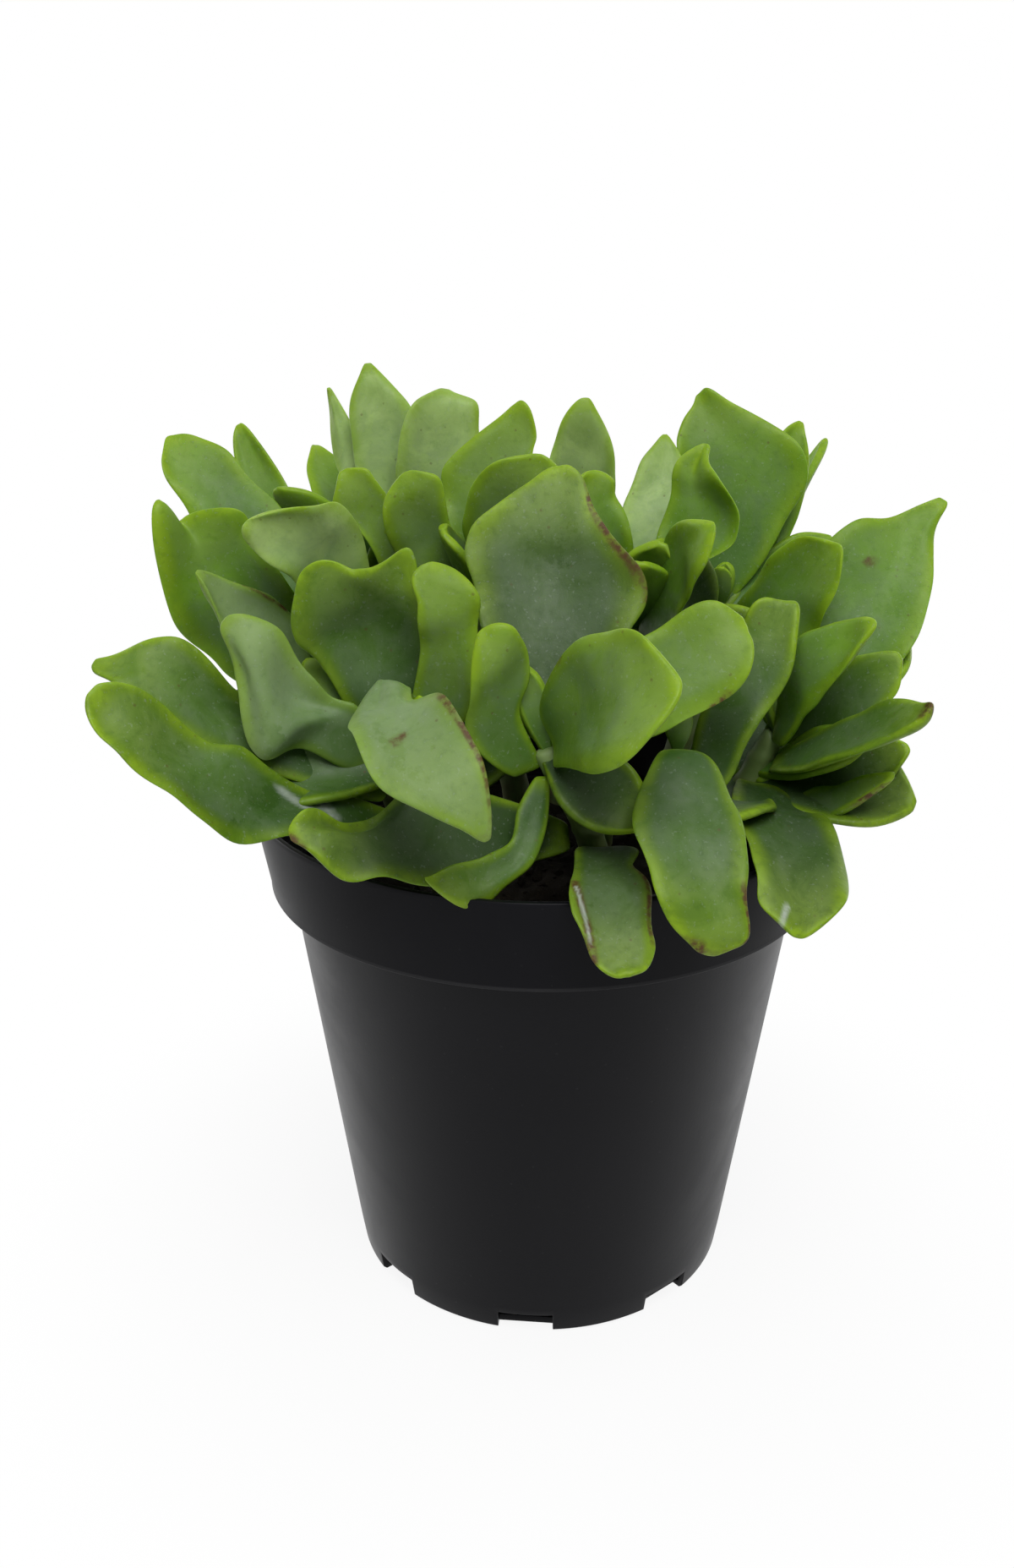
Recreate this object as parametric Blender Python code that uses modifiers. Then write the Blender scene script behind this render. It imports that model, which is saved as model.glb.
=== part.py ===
"""A potted ripple jade: a moulded nursery pot, its soil, ten stems and the larger leaves.

Run with: blender --background --python part.py
Scene units are metres. The tables below are in millimetres, with +Z up, the front of the plant
towards -Y, and the origin at the centre of the pot's flat underside.
"""

import math
from dataclasses import dataclass

import bmesh
import bpy
import numpy as np
from mathutils import Quaternion, Vector

MM = 0.001
GAP = 0.3  # clearance between solids that touch
WELD = 0.01  # points closer than this are one point

# Pot
POT_HEIGHT = 107.4
RIM_RADIUS = 60.0  # outer, at the lip
RIM_FOOT_RADIUS = 57.0  # outer, at the bottom of the rim band
RIM_BAND = 18.4  # height of the rim band
BODY_RADIUS = 53.0  # outer, just under the rim band
BASE_RADIUS = 40.9  # outer, at the floor
WALL = 1.3
LIP_ROUND = 0.5
FLOOR = 1.6
POT_SIDES = 64
NOTCHES = 8
NOTCH_WIDTH = 11.4
NOTCH_HEIGHT = 4.8
NOTCH_DEPTH = 3.0
CUTTER_SPARE = 5.0  # how far a cutter runs past the wall
NOTCH_TURN = math.radians(-4)  # the notch nearest the front, from straight ahead

# Soil
SOIL_TOP = 90.0
SOIL_LUMPS = 2.4
SOIL_FALL = 3.0  # how much the top falls towards the wall
SOIL_EDGE = 2.0  # its edge lies this far under the rim band
LUMP_SIZE = 9.0
SOIL_RINGS = 5
SOIL_SIDES = 40

# Stems: name -> the points of its middle line, from the soil up
STEM_RADIUS = 3.0
STEM_FOOT = 1.15  # radius at the soil, as a share of STEM_RADIUS
STEM_TAPER = 0.3  # lost on the way up, likewise
STEM_STEPS = 5  # tube sections between two points
STEM_ROUNDNESS = 2  # bevel resolution of the tubes
HOLE_SPARE = 1.2  # the soil clears a stem by this many gaps
STEMS = {
    "front": [(10, -26, 78), (11, -33, 98), (8, -36, 112), (0, -38, 128)],
    "left_front": [(-14, -20, 78), (-22, -26, 104), (-28, -30, 124)],
    "left": [(-22, 2, 78), (-34, 0, 112), (-43, -3, 138)],
    "back_left": [(-12, 20, 78), (-24, 25, 118), (-31, 27, 146)],
    "centre": [(-2, 2, 78), (-8, 5, 118), (-13, 8, 146)],
    "centre_right": [(8, -6, 78), (15, -2, 116), (20, 4, 142)],
    "right_back": [(20, 18, 78), (31, 20, 112), (38, 22, 140)],
    "right": [(26, -4, 78), (38, -8, 104), (46, -10, 122)],
    "right_front": [(24, -22, 78), (26, -32, 100), (24, -36, 127)],
    "back": [(4, 34, 78), (5, 43, 112), (4, 48, 134)],
}

# Leaves
LEAF_THICKNESS = 2.3
FLESH_FADE = 2.0  # how fast it thickens from the margin inwards
MARGIN_THICKNESS = 0.45  # share of the thickness that is left at the margin
NECK = 0.3  # half width where a leaf leaves its stem, as a share of the widest
NECK_CURVE = 1.1  # how slowly it widens above the neck
TIP_CURVE = 1.3  # how late it narrows towards the tip
TIP_WIDTH = 0.08  # half width at the very tip, as a share of the widest
ROWS, COLUMNS = 8, 4
MIDRIB_STEPS = 32
TIP_ROWS = 0.3  # how much closer the rows of points lie towards the tip
RIPPLE_TURNS = 9.0  # radians of wave along a margin
RIPPLE_LAG = 2.0  # radians by which the right margin's wave lags the left one's
CROWN_DROP = 1.2  # a neck starts at least this far below its stem's end
SEAT_STEP = 0.05  # step in which a neck is moved off its stem


@dataclass
class Leaf:
    """One leaf, in mm and degrees. Turns are compass turns: 0 to the right, 90 to the back."""

    stem: str
    up: float  # how far up its stem it grows, 0 to 1
    length: float
    turn: float  # where it runs to, on the compass
    rise: float  # and how steeply, above the horizontal
    width: float
    faces: float  # where its upper side looks, on the compass
    tilt: float  # and how steeply that side looks up
    bend: float = 0  # turn from base to tip towards its upper side; below 0 it arches over
    sweep: float = 0  # turn from base to tip towards its left margin, seen from its upper side
    twist: float = 0  # turn of the blade about its midrib, from base to tip
    cup: float = 12  # how steeply its margins stand up
    point: float = 0.5  # 0.35 blunt, 0.8 pointed
    ripple: float = 0.4  # height of the waves in its margins
    widest: float = 0.56  # where it is widest, as a share of its length


LEAVES = [
    # the left crown
    Leaf("left", 0.95, 56, 151, 47, 22, -75, 25, point=0.6, ripple=0.8),
    Leaf("left", 0.75, 47, 188, 57, 27, -100, 25, bend=-20, point=0.38, ripple=1.6),
    Leaf("left", 0.8, 59, 132, 52, 14, -90, 20, point=0.75),
    Leaf("left", 1.0, 39, 226, 64, 17, -80, 40, sweep=105, point=0.45),
    Leaf("left", 0.6, 46, 208, 53, 13, -60, 40, point=0.65),
    # the back left crown
    Leaf("back_left", 0.8, 53, 145, 67, 9, -90, 15, point=0.8),
    Leaf("back_left", 1.0, 45, 140, 75, 19, -95, 15, point=0.7),
    Leaf("back_left", 0.9, 43, 60, 83, 21, -85, 10, point=0.5, ripple=0.6),
    Leaf("back_left", 0.7, 55, 130, 45, 20, -40, 45, point=0.6),
    Leaf("back_left", 0.5, 56, 160, 25, 20, -20, 65, point=0.6),
    # the centre crown
    Leaf("centre", 1.0, 37, 110, 76, 22, -95, 15, point=0.65, ripple=0.6),
    Leaf("centre", 0.8, 46, 180, 55, 13, -100, 20, point=0.45),
    Leaf("centre", 0.9, 33, 200, 65, 15, -90, 20, point=0.45),
    Leaf("centre", 0.95, 32, -40, 78, 19, -90, 20, point=0.5),
    # the centre right crown
    Leaf("centre_right", 1.0, 30, 145, 70, 13, -85, 15, point=0.45, ripple=0.6),
    Leaf("centre_right", 0.85, 50, 76, 55, 13, -90, 15, point=0.55),
    Leaf("centre_right", 0.88, 35, -60, 54, 15, -100, 50, point=0.5),
    Leaf("centre_right", 1.0, 37, 30, 71, 16, -120, 10, cup=35, point=0.6, ripple=0.8),
    # the back crown
    Leaf("back", 1.0, 48, -60, 82, 17, -90, 10, point=0.55),
    Leaf("back", 0.9, 40, 95, 53, 22, -90, 40, point=0.6),
    Leaf("back", 0.7, 48, 150, 25, 21, -30, 65, point=0.6),
    Leaf("back", 0.7, 46, 32, 25, 21, -150, 65, point=0.6),
    # the right back crown
    Leaf("right_back", 1.0, 47, 90, 74, 29, -95, 10, sweep=66, point=0.95, ripple=0.8),
    Leaf("right_back", 0.8, 53, 42, 62, 13, -85, 15, point=0.6),
    Leaf("right_back", 0.8, 38, -45, 45, 19, -95, 40, point=0.42),
    Leaf("right_back", 0.6, 50, 12, 26, 21, -170, 65, point=0.6),
    # the right crown
    Leaf("right", 1.0, 57, 34, 48, 28, -100, 35, point=1.0, ripple=0.7),
    Leaf("right", 1.0, 29, -42, 56, 11, -100, 60, sweep=-50, point=0.5, ripple=0.2),
    Leaf("right", 0.7, 47, -87, -16, 23, -75, 35, bend=-45, point=0.5, ripple=0.6),
    Leaf("right", 0.5, 38, -42, 32, 9, -80, 45, point=0.9, ripple=0.2),
    Leaf("right", 0.85, 40, -48, 30, 15, -110, 60, point=0.6, ripple=0.6),
    Leaf("right", 0.62, 31, -20, 30, 16, -95, 35, point=0.6),
    Leaf("right", 1.0, 27, -12, 48, 13, -95, 40, point=0.5),
    # the right front crown, with one leaf over the rim
    Leaf("right_front", 0.75, 42, 38, 60, 15, -115, 10, point=0.65),
    Leaf("right_front", 1.0, 40, -90, -38, 21, -85, 35, bend=-75, point=0.45, ripple=0.5),
    # the front crown, with two leaves over the rim
    Leaf("front", 1.0, 51, 93, 61, 31, -92, 25, cup=15, point=0.6, ripple=0.9, widest=0.5),
    Leaf("front", 1.0, 35, -54, 31, 26, -95, 35, bend=-25, point=0.45),
    Leaf("front", 1.0, 41, 6, 34, 20, -90, 35, point=0.45),
    Leaf("front", 0.95, 27, 192, 57, 14, -95, 25, point=0.5),
    Leaf("front", 0.94, 37, 216, -28, 10, -74, 30, sweep=-110, point=0.6, ripple=0),
    Leaf("front", 0.66, 53, 203, 15, 20, -100, 44, point=0.6),
    Leaf("front", 0.58, 38, -83, -16, 14, -85, 50, bend=-80, twist=15, point=0.42),
    # the left front crown
    Leaf("left_front", 1.0, 37, 190, 77, 25, -95, 15, point=0.35, ripple=1.2),
    Leaf("left_front", 1.0, 35, 190, 50, 19, -80, 10, bend=-20, point=0.45, ripple=0),
    Leaf("left_front", 1.0, 59, -67, 7, 20, -94, 45, bend=-138, sweep=20, point=0.6, ripple=0.6),
    Leaf("left_front", 0.8, 58, 188, 33, 18, -90, 45, point=0.4),
    Leaf("left_front", 0.62, 67, 206, 34, 19, -90, 50, sweep=-55, point=0.45),
    Leaf("left_front", 0.9, 39, 0, 81, 13, -80, 15, sweep=40, point=0.45, ripple=0.8),
]

# Settling: leaves that would meet are eased apart, as the growing leaves press each other
SETTLE_STEPS = 60
SETTLE_SHARE = 0.5  # share of a shortfall that one step makes up
SETTLE_MOST = 1.2  # furthest that one step moves a point
HELD_ROWS = 2  # rows at the neck that move less, or not at all
SETTLE_SPREAD = 0.22  # how strongly a move spreads over the leaf
SPREAD_PASSES = 2  # and how often per step
LEAST_SAY = 0.5  # a point of the grid moves less where less than this of its surroundings moves
REACH = 9.0  # depth to which a leaf that starts on the wrong side is still eased back
LIFT_FIRST = 0.35  # below 1, a leaf that meets the rim is lifted over it rather than moved sideways
BESIDE = 2.4  # how far beside a sample a point still counts as over the leaf
SIDE_FADE = 4.0  # distance over which a point's say in which side its leaf lies on fades
SETTLE_SPARE = 0.15  # aimed for beyond GAP, because the faces lie a little off the samples
NEARBY = 2.0  # boxes this much larger than the leaves decide which leaves are compared
PAST_STEM = 1.5  # how far past a stem's end a point is clear of it
TINY = 1e-6


def clear_scene():
    for obj in list(bpy.data.objects):
        bpy.data.objects.remove(obj, do_unlink=True)


def new_collection(name, hidden=False):
    collection = bpy.data.collections.new(name)
    collection.hide_render = hidden
    bpy.context.scene.collection.children.link(collection)
    return collection


def new_material(name, colour, roughness):
    material = bpy.data.materials.new(name)
    material.use_nodes = True
    shader = material.node_tree.nodes["Principled BSDF"]
    shader.inputs["Base Color"].default_value = (*colour, 1)
    shader.inputs["Roughness"].default_value = roughness
    shader.inputs["Metallic"].default_value = 0
    material.diffuse_color = (*colour, 1)
    return material


def new_object(name, mesh, collection, material=None):
    obj = bpy.data.objects.new(name, mesh)
    if material:
        mesh.materials.append(material)
    collection.objects.link(obj)
    return obj


def as_cutter(obj):
    obj.hide_render = True
    obj.display_type = "WIRE"


def turned(name, profile, sides, collection, material):
    """A closed profile of (radius, height) in mm, outer side first and downwards, spun about Z."""
    mesh = bpy.data.meshes.new(name)
    ring = [(r * MM, 0, z * MM) for r, z in profile]
    mesh.from_pydata(ring, [(i, i + 1) for i in range(len(ring) - 1)], [])
    obj = new_object(name, mesh, collection, material)
    spin = obj.modifiers.new("Spin", "SCREW")
    spin.steps = sides
    spin.render_steps = sides
    spin.use_merge_vertices = True
    spin.merge_threshold = WELD * MM
    return obj


def cut(obj, cutter):
    boolean = obj.modifiers.new("Cut " + cutter.name, "BOOLEAN")
    boolean.object = cutter
    boolean.operation = "DIFFERENCE"


def body_radius(height):
    """Outer radius of the pot's body, under the rim band."""
    share = height / (POT_HEIGHT - RIM_BAND)
    return BASE_RADIUS + (BODY_RADIUS - BASE_RADIUS) * share


def rim_radius(height):
    share = (height - (POT_HEIGHT - RIM_BAND)) / RIM_BAND
    return RIM_FOOT_RADIUS + (RIM_RADIUS - RIM_FOOT_RADIUS) * share


def make_pot(collection, cutters, material):
    step = POT_HEIGHT - RIM_BAND
    lip = POT_HEIGHT - LIP_ROUND
    outer = [
        (0, POT_HEIGHT),
        (RIM_RADIUS - LIP_ROUND, POT_HEIGHT),
        (RIM_RADIUS, lip),
        (RIM_FOOT_RADIUS, step),
        (BODY_RADIUS, step),
        (BASE_RADIUS, LIP_ROUND),
        (BASE_RADIUS - LIP_ROUND, 0),
        (0, 0),
    ]
    inner = [
        (0, FLOOR),
        (BASE_RADIUS - WALL, FLOOR),
        (BODY_RADIUS - WALL, step + WALL),
        (RIM_FOOT_RADIUS - WALL, step + WALL),
        (RIM_RADIUS - WALL, lip),
        (RIM_RADIUS - WALL + LIP_ROUND, POT_HEIGHT),
    ]
    pot = turned("pot", outer[1:] + inner + outer[1:2], POT_SIDES, collection, material)
    cutter_mesh = bmesh.new()
    for k in range(NOTCHES):
        turn = NOTCH_TURN + k * math.tau / NOTCHES
        made = bmesh.ops.create_cube(cutter_mesh, size=1)["verts"]
        outward = Vector((math.sin(turn), -math.cos(turn), 0))
        across = Vector((math.cos(turn), math.sin(turn), 0))
        for vert in made:
            sideways, away, high = vert.co
            radius = BASE_RADIUS - NOTCH_DEPTH if away < 0 else BASE_RADIUS + CUTTER_SPARE
            height = NOTCH_HEIGHT if high > 0 else -CUTTER_SPARE
            vert.co = (outward * radius + across * sideways * NOTCH_WIDTH) * MM
            vert.co.z = height * MM
    bmesh.ops.recalc_face_normals(cutter_mesh, faces=cutter_mesh.faces)
    mesh = bpy.data.meshes.new("notches")
    cutter_mesh.to_mesh(mesh)
    cutter_mesh.free()
    notches = new_object("notches", mesh, cutters)
    as_cutter(notches)
    cut(pot, notches)
    return pot


def smooth_path(points, steps):
    """Points of a Catmull-Rom curve through the given ones, in mm."""
    points = [Vector(p) for p in points]
    ends = [points[0] * 2 - points[1]] + points + [points[-1] * 2 - points[-2]]
    path = []
    for a, b, c, d in zip(ends, ends[1:], ends[2:], ends[3:]):
        for k in range(steps):
            t = k / steps
            path.append(0.5 * (2 * b + (c - a) * t + (2 * a - 5 * b + 4 * c - d) * t**2
                               + (3 * b - a - 3 * c + d) * t**3))
    return path + [points[-1]]


STEM_PATHS = {name: smooth_path(points, STEM_STEPS) for name, points in STEMS.items()}


def stem_radius(share):
    """Radius of a stem, which thins towards its crown."""
    return STEM_RADIUS * (STEM_FOOT - STEM_TAPER * share)


def tube(name, path, radii, collection, material=None):
    """A mesh tube along a path, with the radius at each of its points."""
    curve = bpy.data.curves.new(name, "CURVE")
    curve.dimensions = "3D"
    curve.bevel_depth = MM
    curve.bevel_resolution = STEM_ROUNDNESS
    curve.use_fill_caps = True
    spline = curve.splines.new("POLY")
    spline.points.add(len(path) - 1)
    for point, place, radius in zip(spline.points, path, radii):
        point.co = (*(place * MM), 1)
        point.radius = radius
    guide = bpy.data.objects.new(name + "_guide", curve)
    collection.objects.link(guide)
    graph = bpy.context.evaluated_depsgraph_get()
    mesh = bpy.data.meshes.new_from_object(guide.evaluated_get(graph))
    bpy.data.objects.remove(guide, do_unlink=True)
    work = bmesh.new()
    work.from_mesh(mesh)
    bmesh.ops.remove_doubles(work, verts=work.verts, dist=WELD * MM)
    bmesh.ops.recalc_face_normals(work, faces=work.faces)
    work.to_mesh(mesh)
    work.free()
    mesh.shade_smooth()
    return new_object(name, mesh, collection, material)


def make_stems(collection, cutters, material):
    holes = []
    for name, path in STEM_PATHS.items():
        radii = [stem_radius(k / (len(path) - 1)) for k in range(len(path))]
        tube(f"stem_{name}", path, radii, collection, material)
        below = path[0] + (path[0] - path[1]).normalized() * 2 * GAP
        wider = [radius + HOLE_SPARE * GAP for radius in radii[:1] + radii]
        hole = tube(f"hole_{name}", [below] + path, wider, cutters)
        as_cutter(hole)
        holes.append(hole)
    return holes


def make_soil(collection, material, holes):
    low = FLOOR + GAP
    side = WALL + 2 * GAP
    shoulder = POT_HEIGHT - RIM_BAND - SOIL_EDGE
    edge = body_radius(shoulder) - side
    profile = [(edge, shoulder), (body_radius(low) - side, low), (0, low)]
    top = []
    for k in range(SOIL_RINGS):
        share = k / SOIL_RINGS
        top.append((edge * share, SOIL_TOP - SOIL_FALL * share**4))
    soil = turned("soil", profile + top + profile[:1], SOIL_SIDES, collection, material)
    group = soil.vertex_groups.new(name="top")
    group.add([len(profile) + k for k in range(1, SOIL_RINGS)], 1, "REPLACE")
    texture = bpy.data.textures.new("soil lumps", "CLOUDS")
    texture.noise_scale = LUMP_SIZE * MM
    lumps = soil.modifiers.new("Lumps", "DISPLACE")
    lumps.texture = texture
    lumps.direction = "Z"
    lumps.strength = 2 * SOIL_LUMPS * MM
    lumps.vertex_group = "top"
    for hole in holes:
        cut(soil, hole)
    return soil


def compass(turn, rise):
    """The unit vector of a compass turn and a rise above the horizontal, in degrees."""
    turn, rise = math.radians(turn), math.radians(rise)
    flat = math.cos(rise)
    return Vector((math.cos(turn) * flat, math.sin(turn) * flat, math.sin(rise)))


def half_width(leaf, t):
    """Half width of a leaf at t, as a share of the widest."""
    if t < leaf.widest:
        return NECK + (1 - NECK) * math.sin(0.5 * math.pi * t / leaf.widest) ** NECK_CURVE
    beyond = (t - leaf.widest) / (1 - leaf.widest)
    return max((1 - beyond ** (TIP_CURVE / leaf.point)) ** leaf.point, TIP_WIDTH)


def blade_axes(leaf, t):
    """The directions ahead, up off the upper side and to the right margin, at t along a leaf."""
    ahead = compass(leaf.turn, leaf.rise)
    face = compass(leaf.faces, leaf.tilt)
    face = (face - ahead * face.dot(ahead)).normalized()
    right = ahead.cross(face)
    along = t - 0.5
    turn = (Quaternion(right, math.radians(leaf.bend) * along)
            @ Quaternion(face, math.radians(leaf.sweep) * along)
            @ Quaternion(ahead, math.radians(leaf.twist) * along))
    return turn @ ahead, turn @ face, turn @ right


def leaf_base(leaf):
    """Where a leaf's midrib starts: its neck lies just off the side of its stem."""
    path = STEM_PATHS[leaf.stem]
    place = leaf.up * (len(path) - 1)
    low = min(int(place), len(path) - 2)
    axis = path[low].lerp(path[low + 1], place - low)
    stem_ahead = (path[low + 1] - path[low]).normalized()
    left_over = (path[-1] - axis).length
    if left_over < CROWN_DROP:
        axis -= stem_ahead * (CROWN_DROP - left_over)
        left_over = CROWN_DROP
    _, face, right = blade_axes(leaf, 0)
    outward = compass(leaf.turn, leaf.rise)
    outward = (outward - stem_ahead * outward.dot(stem_ahead)).normalized()
    neck = [right * 0.5 * leaf.width * NECK * across + face * 0.5 * LEAF_THICKNESS * side
            for across in (-1, -0.5, 0, 0.5, 1) for side in (-1, 1)]

    def clearance(corner):
        level = corner.dot(stem_ahead)
        beside = (corner - stem_ahead * level).length - stem_radius(leaf.up)
        past = level - left_over
        return math.hypot(max(beside, 0), past) if past > 0 else beside

    stand_off = 0
    while min(clearance(outward * stand_off + corner) for corner in neck) < GAP + SETTLE_SPARE:
        stand_off += SEAT_STEP
    return axis + outward * stand_off


def leaf_grid(leaf):
    """The middle surface of a leaf: (ROWS + 1) x (COLUMNS + 1) points in mm."""
    midrib = [leaf_base(leaf)]
    for step in range(MIDRIB_STEPS):
        ahead = blade_axes(leaf, (step + 0.5) / MIDRIB_STEPS)[0]
        midrib.append(midrib[-1] + ahead * leaf.length / MIDRIB_STEPS)
    cup = math.radians(leaf.cup)
    grid = np.zeros((ROWS + 1, COLUMNS + 1, 3))
    for row in range(ROWS + 1):
        t = row / ROWS
        t *= 1 + TIP_ROWS * (1 - t)
        place = t * MIDRIB_STEPS
        low = min(int(place), MIDRIB_STEPS - 1)
        rib = midrib[low].lerp(midrib[low + 1], place - low)
        _, face, right = blade_axes(leaf, t)
        share = half_width(leaf, t)
        wide = 0.5 * leaf.width * share
        for column in range(COLUMNS + 1):
            v = 2 * column / COLUMNS - 1
            wave = math.sin(RIPPLE_TURNS * t + (0 if v < 0 else RIPPLE_LAG))
            lift = v * v * (wide * math.sin(cup) + leaf.ripple * share * wave)
            grid[row, column] = rib + right * (wide * math.cos(cup) * v) + face * lift
    return grid


def between(count):
    """Matrix that adds the points halfway between count + 1 points."""
    matrix = np.zeros((2 * count + 1, count + 1))
    for k in range(2 * count + 1):
        matrix[k, k // 2] += 0.5
        matrix[k, (k + 1) // 2] += 0.5
    return matrix


def lengths(vectors):
    return np.linalg.norm(vectors, axis=-1)


def lies(points, normals, one, other):
    """How the points of one leaf lie beside another: nearest point, offset, depth and if over it."""
    ours, theirs = points[one], points[other]
    squared = np.sum(ours**2, axis=1)[:, None] + np.sum(theirs**2, axis=1) - 2 * ours @ theirs.T
    near = squared.argmin(axis=1)
    away = ours - theirs[near]
    depth = np.sum(away * normals[other][near], axis=1)
    sideways = np.sqrt(np.maximum(lengths(away) ** 2 - depth**2, 0))
    return near, away, depth, sideways < BESIDE


def choose_sides(points, normals, one, other):
    """The side of each of two leaves on which the other lies, as the two signs, or None if apart."""
    votes, agreement = 0, 0
    for first, second in ((one, other), (other, one)):
        near, _, depth, over = lies(points, normals, first, second)
        weight = np.exp(-np.abs(depth) / SIDE_FADE) * (over & (np.abs(depth) < REACH))
        agree = np.sum(normals[first] * normals[second][near], axis=1)
        agreement += np.sum(weight * agree)
        votes += np.sum(weight * np.sign(depth) * (1 if first == one else -np.sign(agree)))
    if votes == 0 and agreement == 0:
        return None
    side = 1.0 if votes >= 0 else -1.0
    return side, -side if agreement >= 0 else side


def off_leaf(points, normals, half, side, one, other):
    """Moves that take one leaf's points clear of another leaf."""
    near, away, depth, over = lies(points, normals, one, other)
    distance = lengths(away)
    need = half + half[near] + GAP + SETTLE_SPARE
    short = np.where(over & (np.abs(depth) < REACH), need - side * depth, 0)
    edge = np.where(over, 0, need - distance) / np.maximum(distance, TINY)
    return (np.maximum(short, 0)[:, None] * side * normals[other][near]
            + np.maximum(edge, 0)[:, None] * away)


def off_stem(points, half, path):
    """Moves that take points clear of a stem."""
    near = np.sum((points[:, None] - path) ** 2, axis=2).argmin(axis=1)
    away = points - path[near]
    ahead = np.gradient(path, axis=0)[near]
    ahead /= lengths(ahead)[:, None]
    level = np.sum(away * ahead, axis=1)
    past = (near == len(path) - 1) & (level > PAST_STEM)
    away -= ahead * level[:, None]
    distance = lengths(away)
    short = half + STEM_RADIUS * STEM_FOOT + GAP + SETTLE_SPARE - distance
    short = np.where(past, 0, np.maximum(short, 0)) / np.maximum(distance, TINY)
    return short[:, None] * away


def off_pot(points, half):
    """Moves that take points out of the pot's wall, its rim and the soil."""
    push = np.zeros_like(points)
    radius = lengths(points[:, :2])
    outward = np.stack([points[:, 0] / radius, points[:, 1] / radius, 0 * radius], axis=1)
    need = half + GAP + SETTLE_SPARE
    height = points[:, 2]
    outer = np.where(height > POT_HEIGHT - RIM_BAND, rim_radius(height), body_radius(height))
    over = POT_HEIGHT + need - height
    out = outer + need - radius
    inside = radius - (outer - WALL - need)
    in_wall = (over > 0) & (out > 0) & (inside > 0)
    lift = in_wall & (over * LIFT_FIRST < np.minimum(out, inside))
    push[:, 2] += np.where(lift, over, 0)
    push += np.where(in_wall & ~lift & (out <= inside), out, 0)[:, None] * outward
    push -= np.where(in_wall & ~lift & (out > inside), inside, 0)[:, None] * outward
    sunk = SOIL_TOP + SOIL_LUMPS + need - height
    push[:, 2] += np.where((sunk > 0) & (out > 0) & ~in_wall, sunk, 0)
    return push


def surfaces(grids):
    """The points and the normals of each leaf's middle surface, halfway points included."""
    rows, columns = between(ROWS), between(COLUMNS)
    fine = np.einsum("ri,nijk,cj->nrck", rows, grids, columns)
    normals = np.cross(np.gradient(fine, axis=1), np.gradient(fine, axis=2))
    normals /= np.maximum(lengths(normals), TINY)[..., None]
    return fine.reshape(len(fine), -1, 3), normals.reshape(len(fine), -1, 3)


def spread_out(moves):
    """The moves of a fine grid's points, as moves of the coarse grid's points."""
    rows, columns = between(ROWS), between(COLUMNS)
    moves = moves.reshape(len(moves), len(rows), len(columns), 3)
    moved = (np.abs(moves).sum(axis=-1, keepdims=True) > 0) * 1.0
    total = np.einsum("ri,nrck,cj->nijk", rows, moves, columns)
    weight = np.einsum("ri,nrck,cj->nijk", rows, moved, columns)
    return total / np.maximum(weight, LEAST_SAY)


def relaxed(shift):
    """The shifts with each one drawn towards its neighbours, and none at the necks."""
    for _ in range(SPREAD_PASSES):
        pad = np.pad(shift, ((0, 0), (1, 1), (1, 1), (0, 0)), "edge")
        around = pad[:, :-2, 1:-1] + pad[:, 2:, 1:-1] + pad[:, 1:-1, :-2] + pad[:, 1:-1, 2:]
        shift = shift + SETTLE_SPREAD * (0.25 * around - shift)
        shift[:, 0] = 0
    return shift


def settle(grids):
    """Eases the leaves apart until they clear each other, the stems, the pot and the soil."""
    across = np.abs(np.linspace(-1, 1, 2 * COLUMNS + 1))
    half = 0.5 * LEAF_THICKNESS * np.interp(across, [0, 1], [1, MARGIN_THICKNESS])
    half = np.tile(half, 2 * ROWS + 1)
    start = np.array(grids)
    shift = np.zeros_like(start)
    free = np.clip(np.arange(ROWS + 1) / HELD_ROWS, 0, 1)[:, None, None]
    paths = [np.array(path) for path in STEM_PATHS.values()]
    sides = {}
    for _ in range(SETTLE_STEPS):
        points, normals = surfaces(start + shift)
        low, high = points.min(axis=1) - NEARBY, points.max(axis=1) + NEARBY
        moves = np.zeros_like(points)
        for one in range(len(points)):
            for other in range(one + 1, len(points)):
                if (low[one] > high[other]).any() or (low[other] > high[one]).any():
                    continue
                if (one, other) not in sides:
                    chosen = choose_sides(points, normals, one, other)
                    if chosen is None:
                        continue
                    sides[one, other] = chosen
                side, side_back = sides[one, other]
                moves[one] += off_leaf(points, normals, half, side, one, other)
                moves[other] += off_leaf(points, normals, half, side_back, other, one)
            for path in paths:
                moves[one] += off_stem(points[one], half, path)
            moves[one] += off_pot(points[one], half)
        moves = np.clip(moves * SETTLE_SHARE, -SETTLE_MOST, SETTLE_MOST)
        shift = relaxed(shift + free * spread_out(moves))
    return start + shift


def make_leaf(name, grid, collection, material):
    mesh = bpy.data.meshes.new(name)
    faces = [
        (a, a + 1, a + COLUMNS + 2, a + COLUMNS + 1)
        for row in range(ROWS)
        for a in range(row * (COLUMNS + 1), row * (COLUMNS + 1) + COLUMNS)
    ]
    mesh.from_pydata([tuple(p * MM) for p in grid.reshape(-1, 3)], [], faces)
    mesh.shade_smooth()
    leaf = new_object(name, mesh, collection, material)
    group = leaf.vertex_groups.new(name="flesh")
    for row in range(ROWS + 1):
        for column in range(COLUMNS + 1):
            inward = 1 - abs(2 * column / COLUMNS - 1)
            if row == ROWS:
                inward = 0
            weight = min(1, FLESH_FADE * inward)
            group.add([row * (COLUMNS + 1) + column], weight, "REPLACE")
    wall = leaf.modifiers.new("Flesh", "SOLIDIFY")
    wall.thickness = LEAF_THICKNESS * MM
    wall.offset = 0
    wall.vertex_group = "flesh"
    wall.thickness_vertex_group = MARGIN_THICKNESS
    return leaf


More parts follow.
